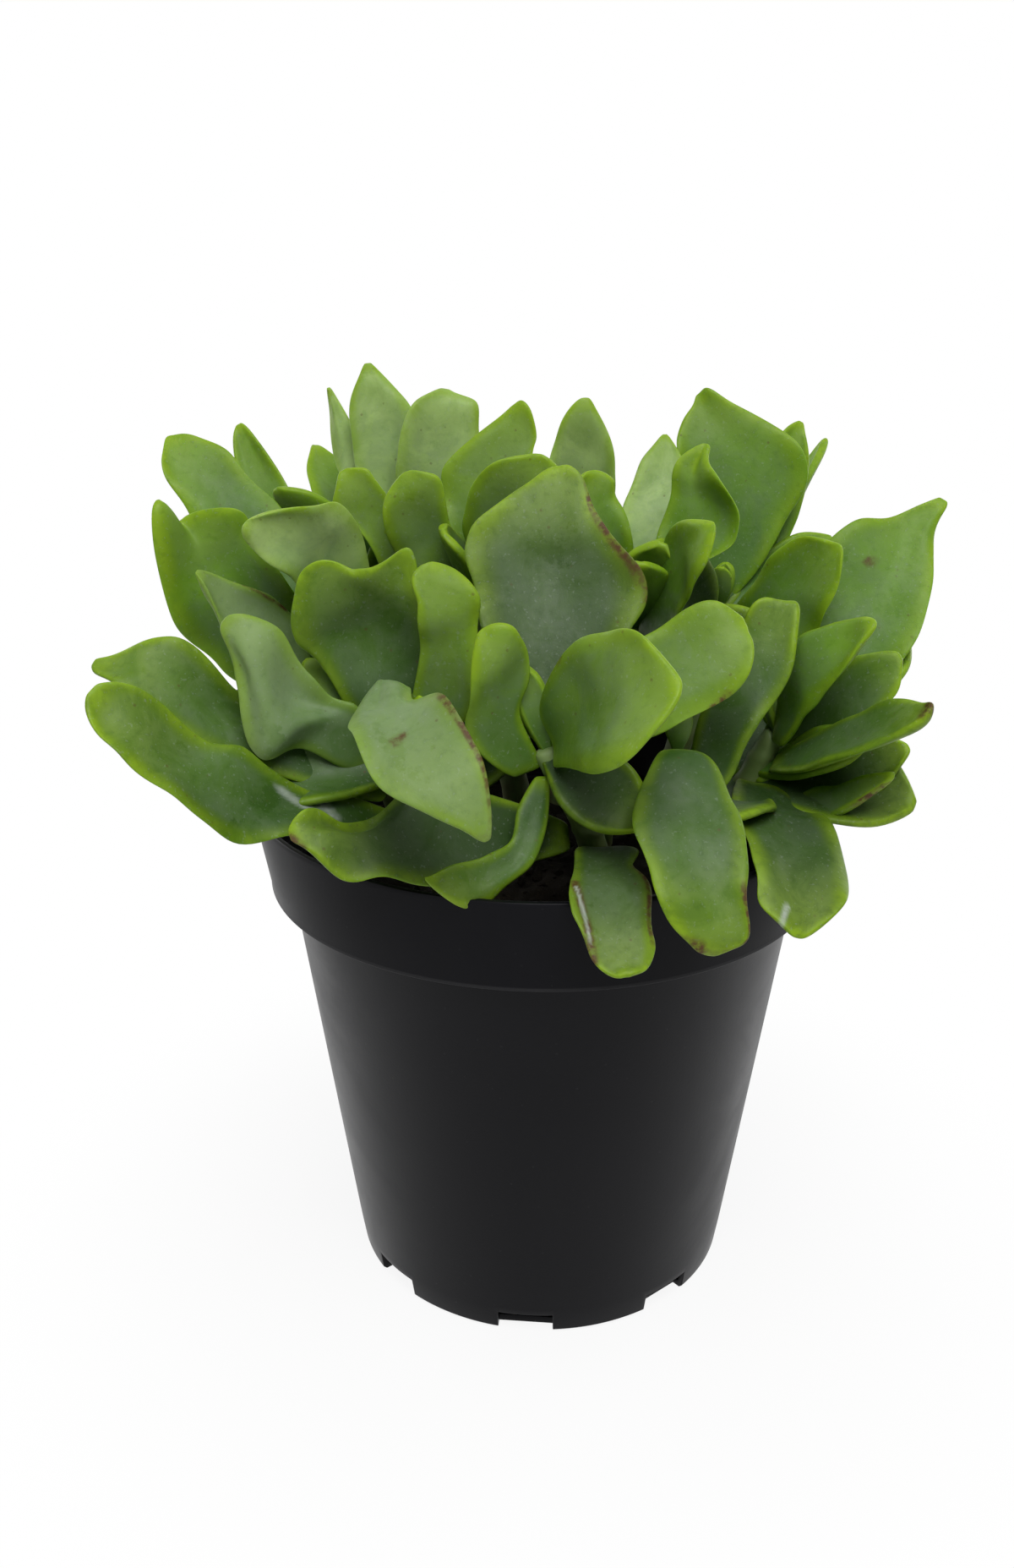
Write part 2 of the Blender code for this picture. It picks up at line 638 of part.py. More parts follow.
def main():
    clear_scene()
    parts = new_collection("potted ripple jade")
    cutters = new_collection("cutters", hidden=True)
    plastic = new_material("black plastic", (0.018, 0.018, 0.021), 0.45)
    earth = new_material("potting soil", (0.045, 0.028, 0.018), 0.95)
    bark = new_material("green stem", (0.22, 0.32, 0.12), 0.6)
    flesh = new_material("leaf", (0.17, 0.33, 0.07), 0.45)
    make_pot(parts, cutters, plastic)
    holes = make_stems(parts, cutters, bark)
    make_soil(parts, earth, holes)
    grids = settle([leaf_grid(leaf) for leaf in LEAVES])
    counts = {}
    for leaf, grid in zip(LEAVES, grids):
        counts[leaf.stem] = counts.get(leaf.stem, 0) + 1
        make_leaf(f"leaf_{leaf.stem}_{counts[leaf.stem]}", grid, parts, flesh)


main()
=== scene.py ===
"""Dresses a potted ripple jade and sets it in a plain studio.

The solids of the frame give every place. Lengths in the tables are in millimetres, turns are
compass turns in degrees, 0 to the right and 90 to the back.
"""

import math
from contextlib import contextmanager
from typing import NamedTuple

import bpy
from bpy.props import FloatProperty, FloatVectorProperty, IntProperty, PointerProperty
from bpy.types import Operator, Panel, PropertyGroup
from mathutils import Matrix, Quaternion, Vector, noise
from mathutils.kdtree import KDTree


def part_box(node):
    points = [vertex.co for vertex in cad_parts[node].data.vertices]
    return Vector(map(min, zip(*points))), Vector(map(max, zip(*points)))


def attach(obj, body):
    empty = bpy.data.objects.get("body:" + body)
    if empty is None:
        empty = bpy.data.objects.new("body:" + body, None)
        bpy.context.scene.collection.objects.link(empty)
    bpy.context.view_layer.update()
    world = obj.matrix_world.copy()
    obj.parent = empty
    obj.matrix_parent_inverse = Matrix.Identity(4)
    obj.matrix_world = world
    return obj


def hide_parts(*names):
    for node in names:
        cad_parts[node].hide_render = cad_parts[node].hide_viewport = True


bl_info = {
    "name": "Potted ripple jade",
    "version": (1, 0, 0),
    "blender": (4, 5, 0),
    "location": "View3D > Sidebar > Ripple jade",
    "description": "Dresses a potted ripple jade: its pot, soil, stems, leaves and studio",
    "category": "Object",
}

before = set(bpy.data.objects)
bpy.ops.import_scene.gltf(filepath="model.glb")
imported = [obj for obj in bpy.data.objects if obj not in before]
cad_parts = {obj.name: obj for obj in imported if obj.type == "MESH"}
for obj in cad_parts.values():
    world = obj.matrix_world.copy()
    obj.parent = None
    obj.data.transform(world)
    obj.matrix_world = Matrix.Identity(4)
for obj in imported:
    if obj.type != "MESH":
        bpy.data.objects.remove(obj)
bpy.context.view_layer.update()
MM = 0.001
WELD = 0.01 * MM  # vertices closer than this are one
POT_CORNER = 0.8 * MM  # size of the cut corners at the pot's foot and lip
SHARP_EDGE = math.radians(48)  # faces that meet at more than this make a leaf's margin
NECK_VERTICES = 10  # of a leaf solid, those nearest its stem
NOISE_SEED = 1
GOLDEN_TURN = 2.39996  # spreads the crumbs evenly
WHITE = (1, 1, 1, 1)
POT_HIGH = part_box("pot")[1]
SOIL_LOW, SOIL_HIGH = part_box("soil")
STEMS = sorted(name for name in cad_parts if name.startswith("stem_"))
LEAVES = sorted(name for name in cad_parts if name.startswith("leaf_"))

# Leaves by finish, where it isn't the green one. Some finishes paint light or shade: lighter
# copies of the green stand for the light on leaves high and at the back of the plant, and a darker
# copy for the shade on leaves low in it
FINISHES = {
    "fresh": ["front_2", "front_3", "left_front_6", "front_4", "centre_1", "centre_2",
              "centre_3", "centre_4"],
    "bright": ["left_1", "left_2", "left_3", "centre_right_1", "centre_right_3",
               "centre_right_4", "right_back_1", "right_back_2", "right_back_3",
               "right_1", "right_2", "back_2", "back_3", "back_left_4", "back_left_5"],
    "frosted_painted_light": ["back_left_1", "back_left_2", "back_left_3", "back_1", "centre_right_2", "left_4"],
    "bloomed": ["front_1", "front_7"],
    "painted_shade": ["front_6", "right_3", "right_6"],
    "pale": ["left_front_2", "left_front_3", "left_5"],
}


class Pull(NamedTuple):
    """One drag on a leaf, as with a grab brush: its place, then its radius and move in mm."""

    along: float  # 0 at the neck, 1 at the tip
    across: float  # -1 to 1 over its width, to the right where the leaf is seen tip up
    radius: float
    right: float
    back: float
    up: float


# What is dragged on each leaf, as the values of a Pull
PULLS = {
    "left_1": [(1, 0, 7, 1.2, 0, -0.5), (0.7, -1, 13, 3.8, 0, 0.5), (0.7, 1, 9, -1.2, 0, -1),
        (1, -0.2, 3, -0.5, 0, 1.2)],
    "left_2": [(0.95, -0.6, 10, 1.3, -1, 12), (0.75, -0.9, 10, 0.5, -1, 3),
        (0.85, 0.9, 6, 1, -2, 1.2), (0.5, -1, 9, 1, 2, 0)],
    "left_3": [(1, 0, 12, -0.7, 0, 2.3), (0.6, 1, 10, -1.8, 0, 0)],
    "left_4": [(1, 0, 10, 0, 0, -2.5), (0.9, -1, 10, -2, 0, -1), (0.75, -1, 9, -1.5, -1, -1)],
    "left_5": [(1, 0, 14, -1, 0, 2.7), (0.6, 1, 12, 2, 0, 2.5)],
    "back_left_2": [(0.6, -1, 14, 1.5, 0, 0), (1, 0, 3, 0, 0, 0.8)],
    "back_left_3": [(0.95, 0.5, 5, 1.5, 0, 1.2), (0.85, 1, 5, -1.2, 0, -1.2)],
    "centre_1": [(1, 0, 16, 6, 0, 0), (1, 0.2, 4, 0.5, 0, 1.5), (0.85, 0.5, 5, 0.5, 0, -1.2)],
    "centre_2": [(1, 0, 10, 1.5, 0, -2), (0.6, -1, 10, 2, 0, 0), (0.95, 0.6, 5, 1, 0, 1)],
    "centre_3": [(0.95, 0.6, 8, 2.5, 0, 1), (0.5, 1, 10, -1.5, 0, 0)],
    "centre_4": [(0.5, -1, 14, -2.3, 0, 0), (1, 0, 8, 1.5, 0, -1)],
    "centre_right_1": [(0.95, 0.6, 6, 2.5, 0, 0), (0.9, -0.7, 5, 0.5, 0, -1.5)],
    "centre_right_2": [(0.8, 0, 14, 1, 0, 0)],
    "centre_right_3": [(0.8, 1, 8, -1.5, 0, -1)],
    "centre_right_4": [(1, 0, 14, -4.2, 0, -1), (0.55, 1, 11, 4, 0, -1), (0.3, 1, 8, -2, -1, 0),
        (1, 0.1, 3.5, 0.8, 0, 1.2)],
    "back_1": [(0.9, 0, 10, -0.5, 0, 0)],
    "right_back_1": [(0.65, 1, 15, 4.5, 0, 0), (0.9, 0.6, 9, 0.5, 0, 0.5),
        (0.85, -0.9, 6, -1.5, 0, 0), (1, 0, 3, -0.8, 0, 0.8)],
    "right_back_2": [(1, 0, 12, -0.5, 0, 1.5)],
    "right_back_3": [(0.8, 0, 16, 0.5, 0, 1.2), (0.6, 1, 9, 1.5, 0, -1)],
    "right_1": [(1, 0, 5, 2.2, 0, 0.6), (0.7, -1, 13, 0, 0, 3.8), (0.45, 1, 14, -1, 0, -2.5)],
    "right_2": [(1, 0, 12, 2.5, 0, 4.5), (0.5, -1, 12, -3, 0, 5)],
    "right_3": [(0.7, 1, 12, 2.5, 0, 0), (0.2, -0.5, 8, 1, 0, -1.5)],
    "right_front_1": [(0.45, 1, 13, -2.3, 0, 0), (0.92, -0.7, 6, -1.5, 0, 2.2),
        (0.97, 0.6, 4, 0.8, 0, 1.5)],
    "right_front_2": [(0.15, 0, 11, 0.5, 0, 3.4), (0.95, 0, 13, 4.5, 0, -1),
        (0.8, 1, 12, 3.2, 0, 0), (0.9, -0.7, 5, 1.5, 0, -1.5)],
    "front_1": [(0.72, -0.9, 10, -2.8, 0, 1.5), (0.8, 0.8, 11, -2.2, 0, -0.5),
        (0.5, 1, 8, 3.2, 1.5, -0.5), (1, 0.2, 9, 1.4, 0, 0.8), (0.6, 0, 12, 0, 2, 0)],
    "front_2": [(0.5, 0, 26, 0, 0, 3.5), (0.15, -0.6, 10, -3.2, 0, 0),
        (0.42, -0.95, 9, -2.2, 0, 0.3), (1, 0, 11, 1, 0, 0), (0.2, 0.8, 12, 0, 0, 0.8)],
    "front_3": [(0.6, -1, 15, 0, 0, -2.2), (1, 0, 6, -1.2, 0, -1), (0.8, 1, 8, 0, 0, -1),
        (0.95, -0.5, 3.5, -0.8, 0, -0.4)],
    "front_4": [(1, 0, 19, 7.5, 0, 4.2), (0.5, -1, 13, 0.5, 0, 1), (0.6, 1, 8, 1, 2, 0),
        (0.95, 0.6, 4, 0.6, 0, 1)],
    "front_5": [(1, 0, 12, 2.2, 0, -2.4), (0.5, 1, 9, 2, 0, -2.4)],
    "front_6": [(0.8, 1, 11, 0.5, 0, -9), (1, 0, 8, -0.5, -1.5, -3.5), (0.9, -1, 8, 0, -1, -3.5),
        (0.55, 1, 9, 0, 0, -2)],
    "front_7": [(0.1, -0.9, 7, 3, 0, 1), (0.35, -1, 3.5, -1.3, 0, 0), (0.1, 0.9, 5, -0.8, 0, 1),
        (0.75, -1, 5, -0.8, 0, 0), (0.68, 1, 7, -1.5, 0, 0), (1, 0, 4, 0, 0, 1.5)],
    "left_front_1": [(0.9, 0.75, 5, 1, 0, 3.6), (0.98, 0.15, 7, 0, -1, -1.8),
        (0.9, -0.6, 8, -2, 0, 2.4), (0.68, -1, 8, -2.2, 0, 0), (0.6, 0, 11, 0, 3, 0)],
    "left_front_2": [(0.55, -1, 10, 0, -2, -4.5), (0.3, -1, 9, 0, 0, 2), (0.85, -0.8, 8, 2, 0, 0),
        (0.95, 0.1, 7, -1.5, 0, 2.2), (0.75, 0, 8, -1, -4, 0), (0.5, -0.2, 8, -1, -4, -1),
        (0.55, 1, 12, -3, 2, -6)],
    "left_front_3": [(0.25, 0.85, 12, 4, 0, 5), (0.25, 0.1, 10, 0, 0, 5.5),
        (0.45, -0.45, 7, -1, 0, 3.5), (0.55, -1, 6, -2.5, 0, -3), (0.5, 0.9, 14, 2, 0, 3.5),
        (1, 0.4, 6, 0, 0, -2.4)],
    "left_front_4": [(0.6, 1, 14, 0, 0, -6), (1, 0, 9, -2, 0, -4), (0.9, 0.7, 7, 0, 0, -1),
        (0.7, 0.95, 5, 0.5, 0, 0.5)],
    "left_front_5": [(0.72, 1, 12, 0, 0, -4.5), (0.4, 1, 13, 0, 0, -3), (1, 0, 8, -1.4, 0, -2.5),
        (0.3, -1, 14, 0, 0, 3.5), (0.72, -1, 5, 1, 0, 1.2), (0.55, -1, 6, -0.5, 0, -1.2)],
    "left_front_6": [(0.95, -0.6, 6, -3.2, 0, 0.4), (0.6, 1, 12, -2, 0, 0),
        (0.6, -1, 7, 0.8, 0, 0), (0.35, -1, 6, -0.8, 0, 0)],
}


class Stroke(NamedTuple):
    """A mark drawn on a leaf from one place to another; a place is (along, across)."""

    kind: str  # scar is brown, scuff is white
    start: tuple
    end: tuple
    width: float  # mm


# The marks on each leaf, as the values of a Stroke
STROKES = {
    "left_front_3": [("scar", (0.7, 0.05), (0.72, 0.3), 0.9)],
    "left_front_5": [("scuff", (0.24, 0.1), (0.3, 0.4), 1.8),
                     ("scuff", (0.3, 0.1), (0.42, 0.3), 1.1),
                     ("scar", (1, 0), (0.98, -0.2), 1.6)],
    "front_7": [("scar", (0.5, 0.8), (0.92, 0.6), 1.2),
                ("scuff", (0.55, 0.78), (0.84, 0.64), 0.45)],
    "right_1": [("scar", (0.66, -0.3), (0.67, -0.27), 1.3)],
    "front_2": [("scar", (0.3, -0.95), (0.34, -0.9), 1.6)],
    "front_3": [("scar", (0.75, 0.95), (0.65, 1), 0.9)],
    "front_6": [("scar", (1, -0.1), (0.97, -0.4), 1.8)],
    "right_5": [("scar", (1, 0), (0.96, 0.1), 2.2)],
    "right_3": [("scuff", (0.9, 0.2), (0.97, 0.3), 0.8)],
    "right_front_2": [("scar", (1, -0.1), (0.98, 0.3), 1.8)],
    "front_1": [("scar", (0.56, 0.98), (0.5, 1), 1.3)],
    "left_5": [("scar", (0.9, 0.5), (0.6, 0.95), 0.5)],
}

# Dry margins: the stretch along the leaf, 0 at the neck and 1 at the tip, and its side
DRY_MARGINS = {"front_1": (0.5, 0.92, 1), "left_front_3": (0.6, 0.98, -1),
               "right_front_2": (0.7, 1, -1), "front_7": (0.35, 0.85, -1), "right_4": (0.7, 1, 1)}


class Young(NamedTuple):
    """One young leaf between the grown ones. Sizes are in mm."""

    stem: str
    up: float  # where it grows, as a share of its stem
    length: float
    turn: float  # compass turn and rise of its direction
    rise: float
    width: float
    faces: float  # compass turn and rise of its upper side
    tilt: float
    bend: float = 10  # turn from base to tip towards its upper side
    kind: str = "green"


# The young leaves, as the values of a Young
YOUNG_LEAVES = [
    # small leaves that show between the crowns
    ("back_left", 0.98, 36, 212, 33, 12, 100, 50, 15, "bright"),
    ("right_back", 1, 53, 46, 35, 7, 180, 50, 12, "bright"),
    ("centre_right", 1, 24, -72, 60, 14, -97, 25, 10, "fresh"),
    ("right_back", 1, 32, 28, 25, 12, -90, 40, 10, "bright"),
    ("front", 1, 17, 150, 70, 6, -90, 20, 5, "fresh"),
    ("left_front", 0.95, 26, 155, 40, 10, -95, 40, 0, "fresh"),
    ("left_front", 0.9, 32, 196, 2, 15, -90, 50, -15),
    ("right", 0.8, 26, -30, 16, 11, -95, 50, 25, "bright"),
    ("right", 0.95, 36, 28, 24, 15, -95, 45, 10, "bright"),
    ("front", 0.98, 22, -48, -12, 14, -90, 30, -40, "painted_shade"),
    ("centre_right", 1, 24, -95, 35, 12, -95, 60, 20, "bright"),
    ("centre", 1, 26, -120, 40, 13, -95, 50, 15, "green"),
    # leaves lower on the stems, in the shade of the crowns, in a darker copy of the green that
    # paints that shade
    ("left_front", 0.7, 36, 60, 22, 20, -95, 35, -10, "painted_shade"),
    ("left", 0.7, 38, -70, 25, 22, -90, 45, -10, "painted_shade"),
    ("centre", 0.75, 38, -110, 30, 23, -90, 45, -15, "painted_shade"),
    ("centre", 0.85, 34, -75, -5, 24, -90, 30, -25, "painted_shade"),
    ("centre", 0.6, 36, -140, 10, 24, -90, 30, -25, "painted_shade"),
    ("centre", 0.8, 38, -45, 32, 22, -90, 40, -10, "painted_shade"),
    ("centre_right", 0.7, 38, -100, 25, 23, -90, 45, -15, "painted_shade"),
    ("centre_right", 0.75, 36, -30, 28, 21, -95, 45, -10, "painted_shade"),
    ("right", 0.7, 38, -110, 18, 22, -95, 45, -15, "painted_shade"),
    ("right", 0.75, 34, -35, 8, 20, -95, 50, -15, "painted_shade"),
    ("right_back", 0.8, 40, -120, 45, 22, -90, 40, -10, "painted_shade"),
    ("back", 0.85, 40, -95, 50, 23, -90, 30, -10, "painted_shade"),
    ("back_left", 0.8, 40, -80, 45, 23, -90, 30, -10, "painted_shade"),
    # leaves that fill the back
    ("back", 0.8, 34, 62, 15, 25, 80, 60, -20),
    ("back", 0.75, 34, 128, 10, 25, 100, 60, -20),
    ("back", 0.8, 30, 95, -5, 24, 90, 60, -15),
    ("back", 0.95, 38, 75, 58, 22, 90, 30, -10, "bright"),
    ("back_left", 0.85, 42, 108, 42, 24, 100, 40, -10, "bright"),
    ("back_left", 0.65, 42, 140, 0, 25, 120, 60, -25),
    ("back_left", 0.55, 38, 88, 5, 25, 90, 50, -20),
    ("right_back", 0.85, 42, 78, 42, 24, 80, 40, -10, "bright"),
    ("right_back", 0.65, 42, 52, 0, 25, 60, 60, -25),
    ("right_back", 0.55, 40, 105, 5, 25, 90, 50, -20),
    ("left", 0.75, 40, 120, 20, 23, 120, 60, -15),
    ("left", 0.75, 34, 160, 0, 24, 150, 55, -15),
    ("right", 0.75, 36, 60, 20, 23, 60, 60, -15),
    ("right", 0.75, 32, 20, 0, 24, 30, 55, -15),
    ("centre", 0.6, 36, 95, 10, 24, 90, 50, -15, "painted_shade"),
    ("centre_right", 0.6, 36, 80, 10, 24, 90, 50, -15, "painted_shade"),
]
# Compass turn of the pair of buds at the top of each of these stems
BUD_TURNS = {"left": 60, "back_left": 0, "centre": 130, "centre_right": 40, "right_back": 75,
             "right": 10, "right_front": 95, "back": 30}


def tone(name, default, text):
    """A colour property."""
    return FloatVectorProperty(name=name, description=text, default=default, size=3,
                               subtype="COLOR", min=0, max=1)


def size(name, default, text):
    """A length property, in metres."""
    return FloatProperty(name=name, description=text, default=default, unit="LENGTH")


def angle(name, default, text):
    """An angle property, with its default in degrees."""
    return FloatProperty(name=name, description=text, default=math.radians(default),
                         subtype="ANGLE")


def number(name, default, text):
    """A plain number property."""
    return FloatProperty(name=name, description=text, default=default)


def whole(name, default, text):
    """A property that counts things."""
    return IntProperty(name=name, description=text, default=default, min=0)


class JadePot(PropertyGroup):
    """Sizes and colours of the pot and its soil."""

    wall: size("Wall", 1.3 * MM, "Thickness of the pot's wall")
    band: size("Rim band", 18.4 * MM, "Height of the rim band")
    band_foot: size("Band foot radius", 57 * MM, "Outer radius at the bottom of the rim band")
    body: size("Body radius", 53 * MM, "Outer radius just under the rim band")
    base: size("Base radius", 40.9 * MM, "Outer radius at the ground")
    floor: size("Floor", 1.6 * MM, "Thickness of the floor")
    rounding: size("Rounding", 0.35 * MM, "Radius of the moulded edges")
    notch_width: size("Notch width", 11.4 * MM, "Width of a drainage notch")
    notch_height: size("Notch height", 4.8 * MM, "Height of a drainage notch")
    notch_depth: size("Notch depth", 3 * MM, "Depth of a drainage notch")
    notches: whole("Notches", 8, "Drainage notches")
    notch_turn: angle("Notch turn", -4, "Turn of the notch nearest the front")
    plastic: tone("Plastic", (0.003, 0.003, 0.0045), "Colour of the pot")
    # also the colour of the painted highlight along the foot of the rim band
    dust_and_highlight: tone("Dust", (0.03, 0.03, 0.032), "Colour of the dust on the pot")
    peat: tone("Peat", (0.008, 0.006, 0.004), "Colour of the soil")
    crumbs: whole("Crumbs", 420, "Loose crumbs on the soil")


class JadeLeaves(PropertyGroup):
    """Sizes and colours of the stems and leaves."""

    green: tone("Green", (0.065, 0.15, 0.008), "Flesh of most leaves")
    fresh: tone("Fresh green", (0.19, 0.33, 0.03), "Flesh of the fresh leaves")
    # painted light: a lighter, yellower copy of the green for the leaves where the light falls
    bright: tone("Bright green", (0.14, 0.29, 0.014), "Flesh of the leaves in the light")
    # painted light and bloom: a much lighter copy of the green for leaves high and at the back,
    # where light shines through them, under a little more bloom
    frosted_painted_light: tone("Frosted green", (0.42, 0.58, 0.2), "Flesh of the light leaves under more bloom")
    grey: tone("Bloomed green", (0.06, 0.12, 0.016), "Flesh of the old leaves under more bloom")
    # painted shade: a darker copy of the green for the leaves low in the plant, where the crowns
    # shade them
    painted_shade: tone("Deep green", (0.035, 0.085, 0.006), "Flesh of the leaves low in the plant")
    pale: tone("Pale green", (0.21, 0.32, 0.11), "Flesh of the palest leaves")
    # painted light: the colour painted into the margins and tips for the light that shines through
    # them
    margin: tone("Margin", (0.25, 0.4, 0.012), "Translucent margin of a leaf")
    bloom: tone("Bloom", (0.26, 0.35, 0.2), "Waxy bloom on the leaves")
    scar: tone("Scar", (0.09, 0.045, 0.015), "Dry edges, scars and specks")
    scuff: tone("Scuff", (0.5, 0.56, 0.5), "Where the bloom is scraped white")
    stem: tone("Stem", (0.16, 0.25, 0.07), "Green stem")
    bark: tone("Bark", (0.17, 0.13, 0.07), "Corky skin of the older stem")
    undulation: size("Undulation", 0.5 * MM, "Unevenness of a leaf's surface")
    young: size("Young leaf", 1.9 * MM, "Thickness of a young leaf")
    bud: size("Bud", 9 * MM, "Length of the smallest leaves in a crown")
    wave: size("Wave", 2.4 * MM, "Height of the waves in a leaf's margin")
    neck: size("Neck", 1.8 * MM, "How far a leaf's neck runs into its stem")


class JadeStudio(PropertyGroup):
    """Camera and light."""

    lens: number("Lens", 32.7, "Focal length in mm")
    away: size("Away", 0.2788, "Distance of the camera in front of the pot's axis")
    height: size("Height", 0.2112, "Height of the camera above the ground")
    pitch: angle("Pitch", 20.55, "How far the camera looks down")
    yaw: angle("Yaw", 1.55, "How far the camera looks to the left")
    roll: angle("Roll", -0.1, "Turn of the camera about its own axis")
    sky: number("Sky", 0.02, "Strength of the even light")
    key: number("Key", 5.9, "Power of the lamp above, in W")
    fill: number("Fill", 2, "Power of the side lamps, in W")


# Modelling helpers


def only(obj):
    """Selects one object and nothing else."""
    bpy.ops.object.select_all(action="DESELECT")
    obj.select_set(True)
    bpy.context.view_layer.objects.active = obj


def primitive(add, name, **values):
    """Adds a primitive under a name, with nothing else selected."""
    bpy.ops.object.select_all(action="DESELECT")
    add(**values)
    made = bpy.context.object
    made.name = made.data.name = name
    return made


@contextmanager
def editing(obj):
    """Edit mode on one object, with nothing of it selected."""
    only(obj)
    bpy.ops.object.mode_set(mode="EDIT")
    bpy.ops.mesh.select_all(action="DESELECT")
    yield
    bpy.ops.object.mode_set(mode="OBJECT")


def apply_modifier(obj, kind, **values):
    """Adds a modifier with these values and applies it."""
    modifier = obj.modifiers.new(kind.title(), kind)
    for key, value in values.items():
        setattr(modifier, key, value)
    only(obj)
    bpy.ops.object.modifier_apply(modifier=modifier.name)


def smoothed(obj, levels):
    """Subdivides a mesh and shades it smooth."""
    apply_modifier(obj, "SUBSURF", levels=levels, render_levels=levels)
    only(obj)
    bpy.ops.object.shade_smooth()


def extrude_rings(radius, height, rings):
    """Extrudes the circle being edited through rings, each a radius and a height, and caps it."""
    bpy.ops.mesh.select_mode(type="EDGE")
    bpy.ops.mesh.select_all(action="SELECT")
    for ring_radius, ring_height in rings:
        up = {"value": (0, 0, ring_height - height)}
        bpy.ops.mesh.extrude_edges_move(TRANSFORM_OT_translate=up)
        share = ring_radius / radius
        bpy.ops.transform.resize(value=(share, share, 1), center_override=(0, 0, 0))
        radius, height = ring_radius, ring_height
    bpy.ops.mesh.edge_face_add()
    bpy.ops.mesh.select_all(action="SELECT")
    bpy.ops.mesh.normals_make_consistent(inside=False)


def own_copy(obj, name):
    """A copy with its own mesh, free of the frame's marks."""
    copy = obj.copy()
    copy.data = obj.data.copy()
    copy.name = copy.data.name = name
    copy.parent = None
    for key in list(copy.keys()):
        del copy[key]
    bpy.context.scene.collection.objects.link(copy)
    return copy


def copied_node(node, name):
    """A copy of a CAD node whose loose triangles are joined into quads."""
    copy = own_copy(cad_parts[node], name)
    copy.data.materials.clear()
    with editing(copy):
        bpy.ops.mesh.select_all(action="SELECT")
        bpy.ops.mesh.remove_doubles(threshold=WELD)
        bpy.ops.mesh.tris_convert_to_quads(face_threshold=math.pi, shape_threshold=math.pi)
    if copy.data.has_custom_normals:
        bpy.ops.mesh.customdata_custom_splitnormals_clear()
    return copy


def joined(objects, name):
    """Several objects made one."""
    bpy.ops.object.select_all(action="DESELECT")
    for obj in objects:
        obj.select_set(True)
    bpy.context.view_layer.objects.active = objects[0]
    bpy.ops.object.join()
    objects[0].name = objects[0].data.name = name
    return objects[0]


def finished(obj, material, slot, *nodes):
    """Gives a piece its material and its body, and hides the nodes that it stands for."""
    obj.data.materials.clear()
    obj.data.materials.append(material)
    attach(obj, "root")
    if nodes:
        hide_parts(*nodes)
    return obj


def mask(obj, name, values):
    """A number for each vertex, which the materials read."""
    attribute = obj.data.attributes.get(name) or obj.data.attributes.new(name, "FLOAT", "POINT")
    attribute.data.foreach_set("value", values)


def mask_values(obj, name):
    """The numbers of a mask, one for each vertex."""
    values = [0.0] * len(obj.data.vertices)
    obj.data.attributes[name].data.foreach_get("value", values)
    return values


def search_tree(places):
    """A tree that finds the nearest of these places."""
    tree = KDTree(len(places))
    for k, place in enumerate(places):
        tree.insert(place, k)
    tree.balance()
    return tree


def compass(heading, rise):
    """The unit vector of a compass turn and a rise above the horizontal, in degrees."""
    heading, rise = math.radians(heading), math.radians(rise)
    flat = math.cos(rise)
    return Vector((math.cos(heading) * flat, math.sin(heading) * flat, math.sin(rise)))


def fade(value, low, high):
    """0 below low, 1 above high and smooth between."""
    t = min(max((value - low) / (high - low), 0), 1)
    return t * t * (3 - 2 * t)


# Material helpers


class Nodes:
    """Short ways to build a node tree."""

    def __init__(self, tree):
        self.tree = tree

    def feed(self, inputs, values):
        """Links each input to a socket, or sets it to a number or a colour."""
        for key, value in dict(values).items():
            if isinstance(value, bpy.types.NodeSocket):
                self.tree.links.new(value, inputs[key])
            else:
                inputs[key].default_value = value

    def add(self, kind, inputs=(), **properties):
        """A node with its properties and what feeds its inputs."""
        node = self.tree.nodes.new(kind)
        for key, value in properties.items():
            setattr(node, key, value)
        self.feed(node.inputs, inputs)
        return node

    def noise(self, scale, place, detail=3, roughness=0.55, distortion=0):
        """Fractal noise, as a value around 0.5."""
        return self.add("ShaderNodeTexNoise", {
            "Vector": place, "Scale": scale, "Detail": detail, "Roughness": roughness,
            "Distortion": distortion}).outputs["Fac"]

    def remap(self, value, low, high, out_low=0, out_high=1):
        """A smooth step from out_low at low to out_high at high."""
        return self.add("ShaderNodeMapRange", {
            "Value": value, "From Min": low, "From Max": high, "To Min": out_low,
            "To Max": out_high}, interpolation_type="SMOOTHSTEP").outputs["Result"]

    def maths(self, kind, one, other=0):
        return self.add("ShaderNodeMath", {0: one, 1: other}, operation=kind).outputs[0]

    def times(self, one, other):
        return self.maths("MULTIPLY", one, other)

    def plus(self, one, other):
        return self.maths("ADD", one, other)

    def blend(self, share, one, other, kind="MIX"):
        """One colour turning into another."""
        return self.add("ShaderNodeMix", {0: share, 6: one, 7: other}, data_type="RGBA",
                        blend_type=kind).outputs[2]

    def bump(self, height, distance, strength):
        return self.add("ShaderNodeBump", {"Height": height, "Distance": distance,
                                           "Strength": strength}).outputs["Normal"]

    def attribute(self, name):
        return self.add("ShaderNodeAttribute", attribute_name=name).outputs["Fac"]

    def coordinates(self):
        return self.add("ShaderNodeTexCoord").outputs["Object"]

    def height(self, place):
        return self.add("ShaderNodeSeparateXYZ", {0: place}).outputs["Z"]

    def seen(self):
        """1 where the camera, gloss or glass looks, 0 for the light that falls on things."""
        rays = self.add("ShaderNodeLightPath").outputs
        return self.maths("MAXIMUM", rays["Is Camera Ray"], self.maths(
            "MAXIMUM", rays["Is Glossy Ray"], rays["Is Transmission Ray"]))


def colour(value):
    return (*value, 1)


def new_group(name, inputs, outputs):
    """A node group with these sockets, and its builder, its inputs and its outputs."""
    group = bpy.data.node_groups.new(name, "ShaderNodeTree")
    for side, sockets in (("INPUT", inputs), ("OUTPUT", outputs)):
        for label, kind in sockets.items():
            group.interface.new_socket(label, in_out=side, socket_type="NodeSocket" + kind)
    nodes = Nodes(group)
    return group, nodes, nodes.add("NodeGroupInput").outputs, nodes.add("NodeGroupOutput").inputs


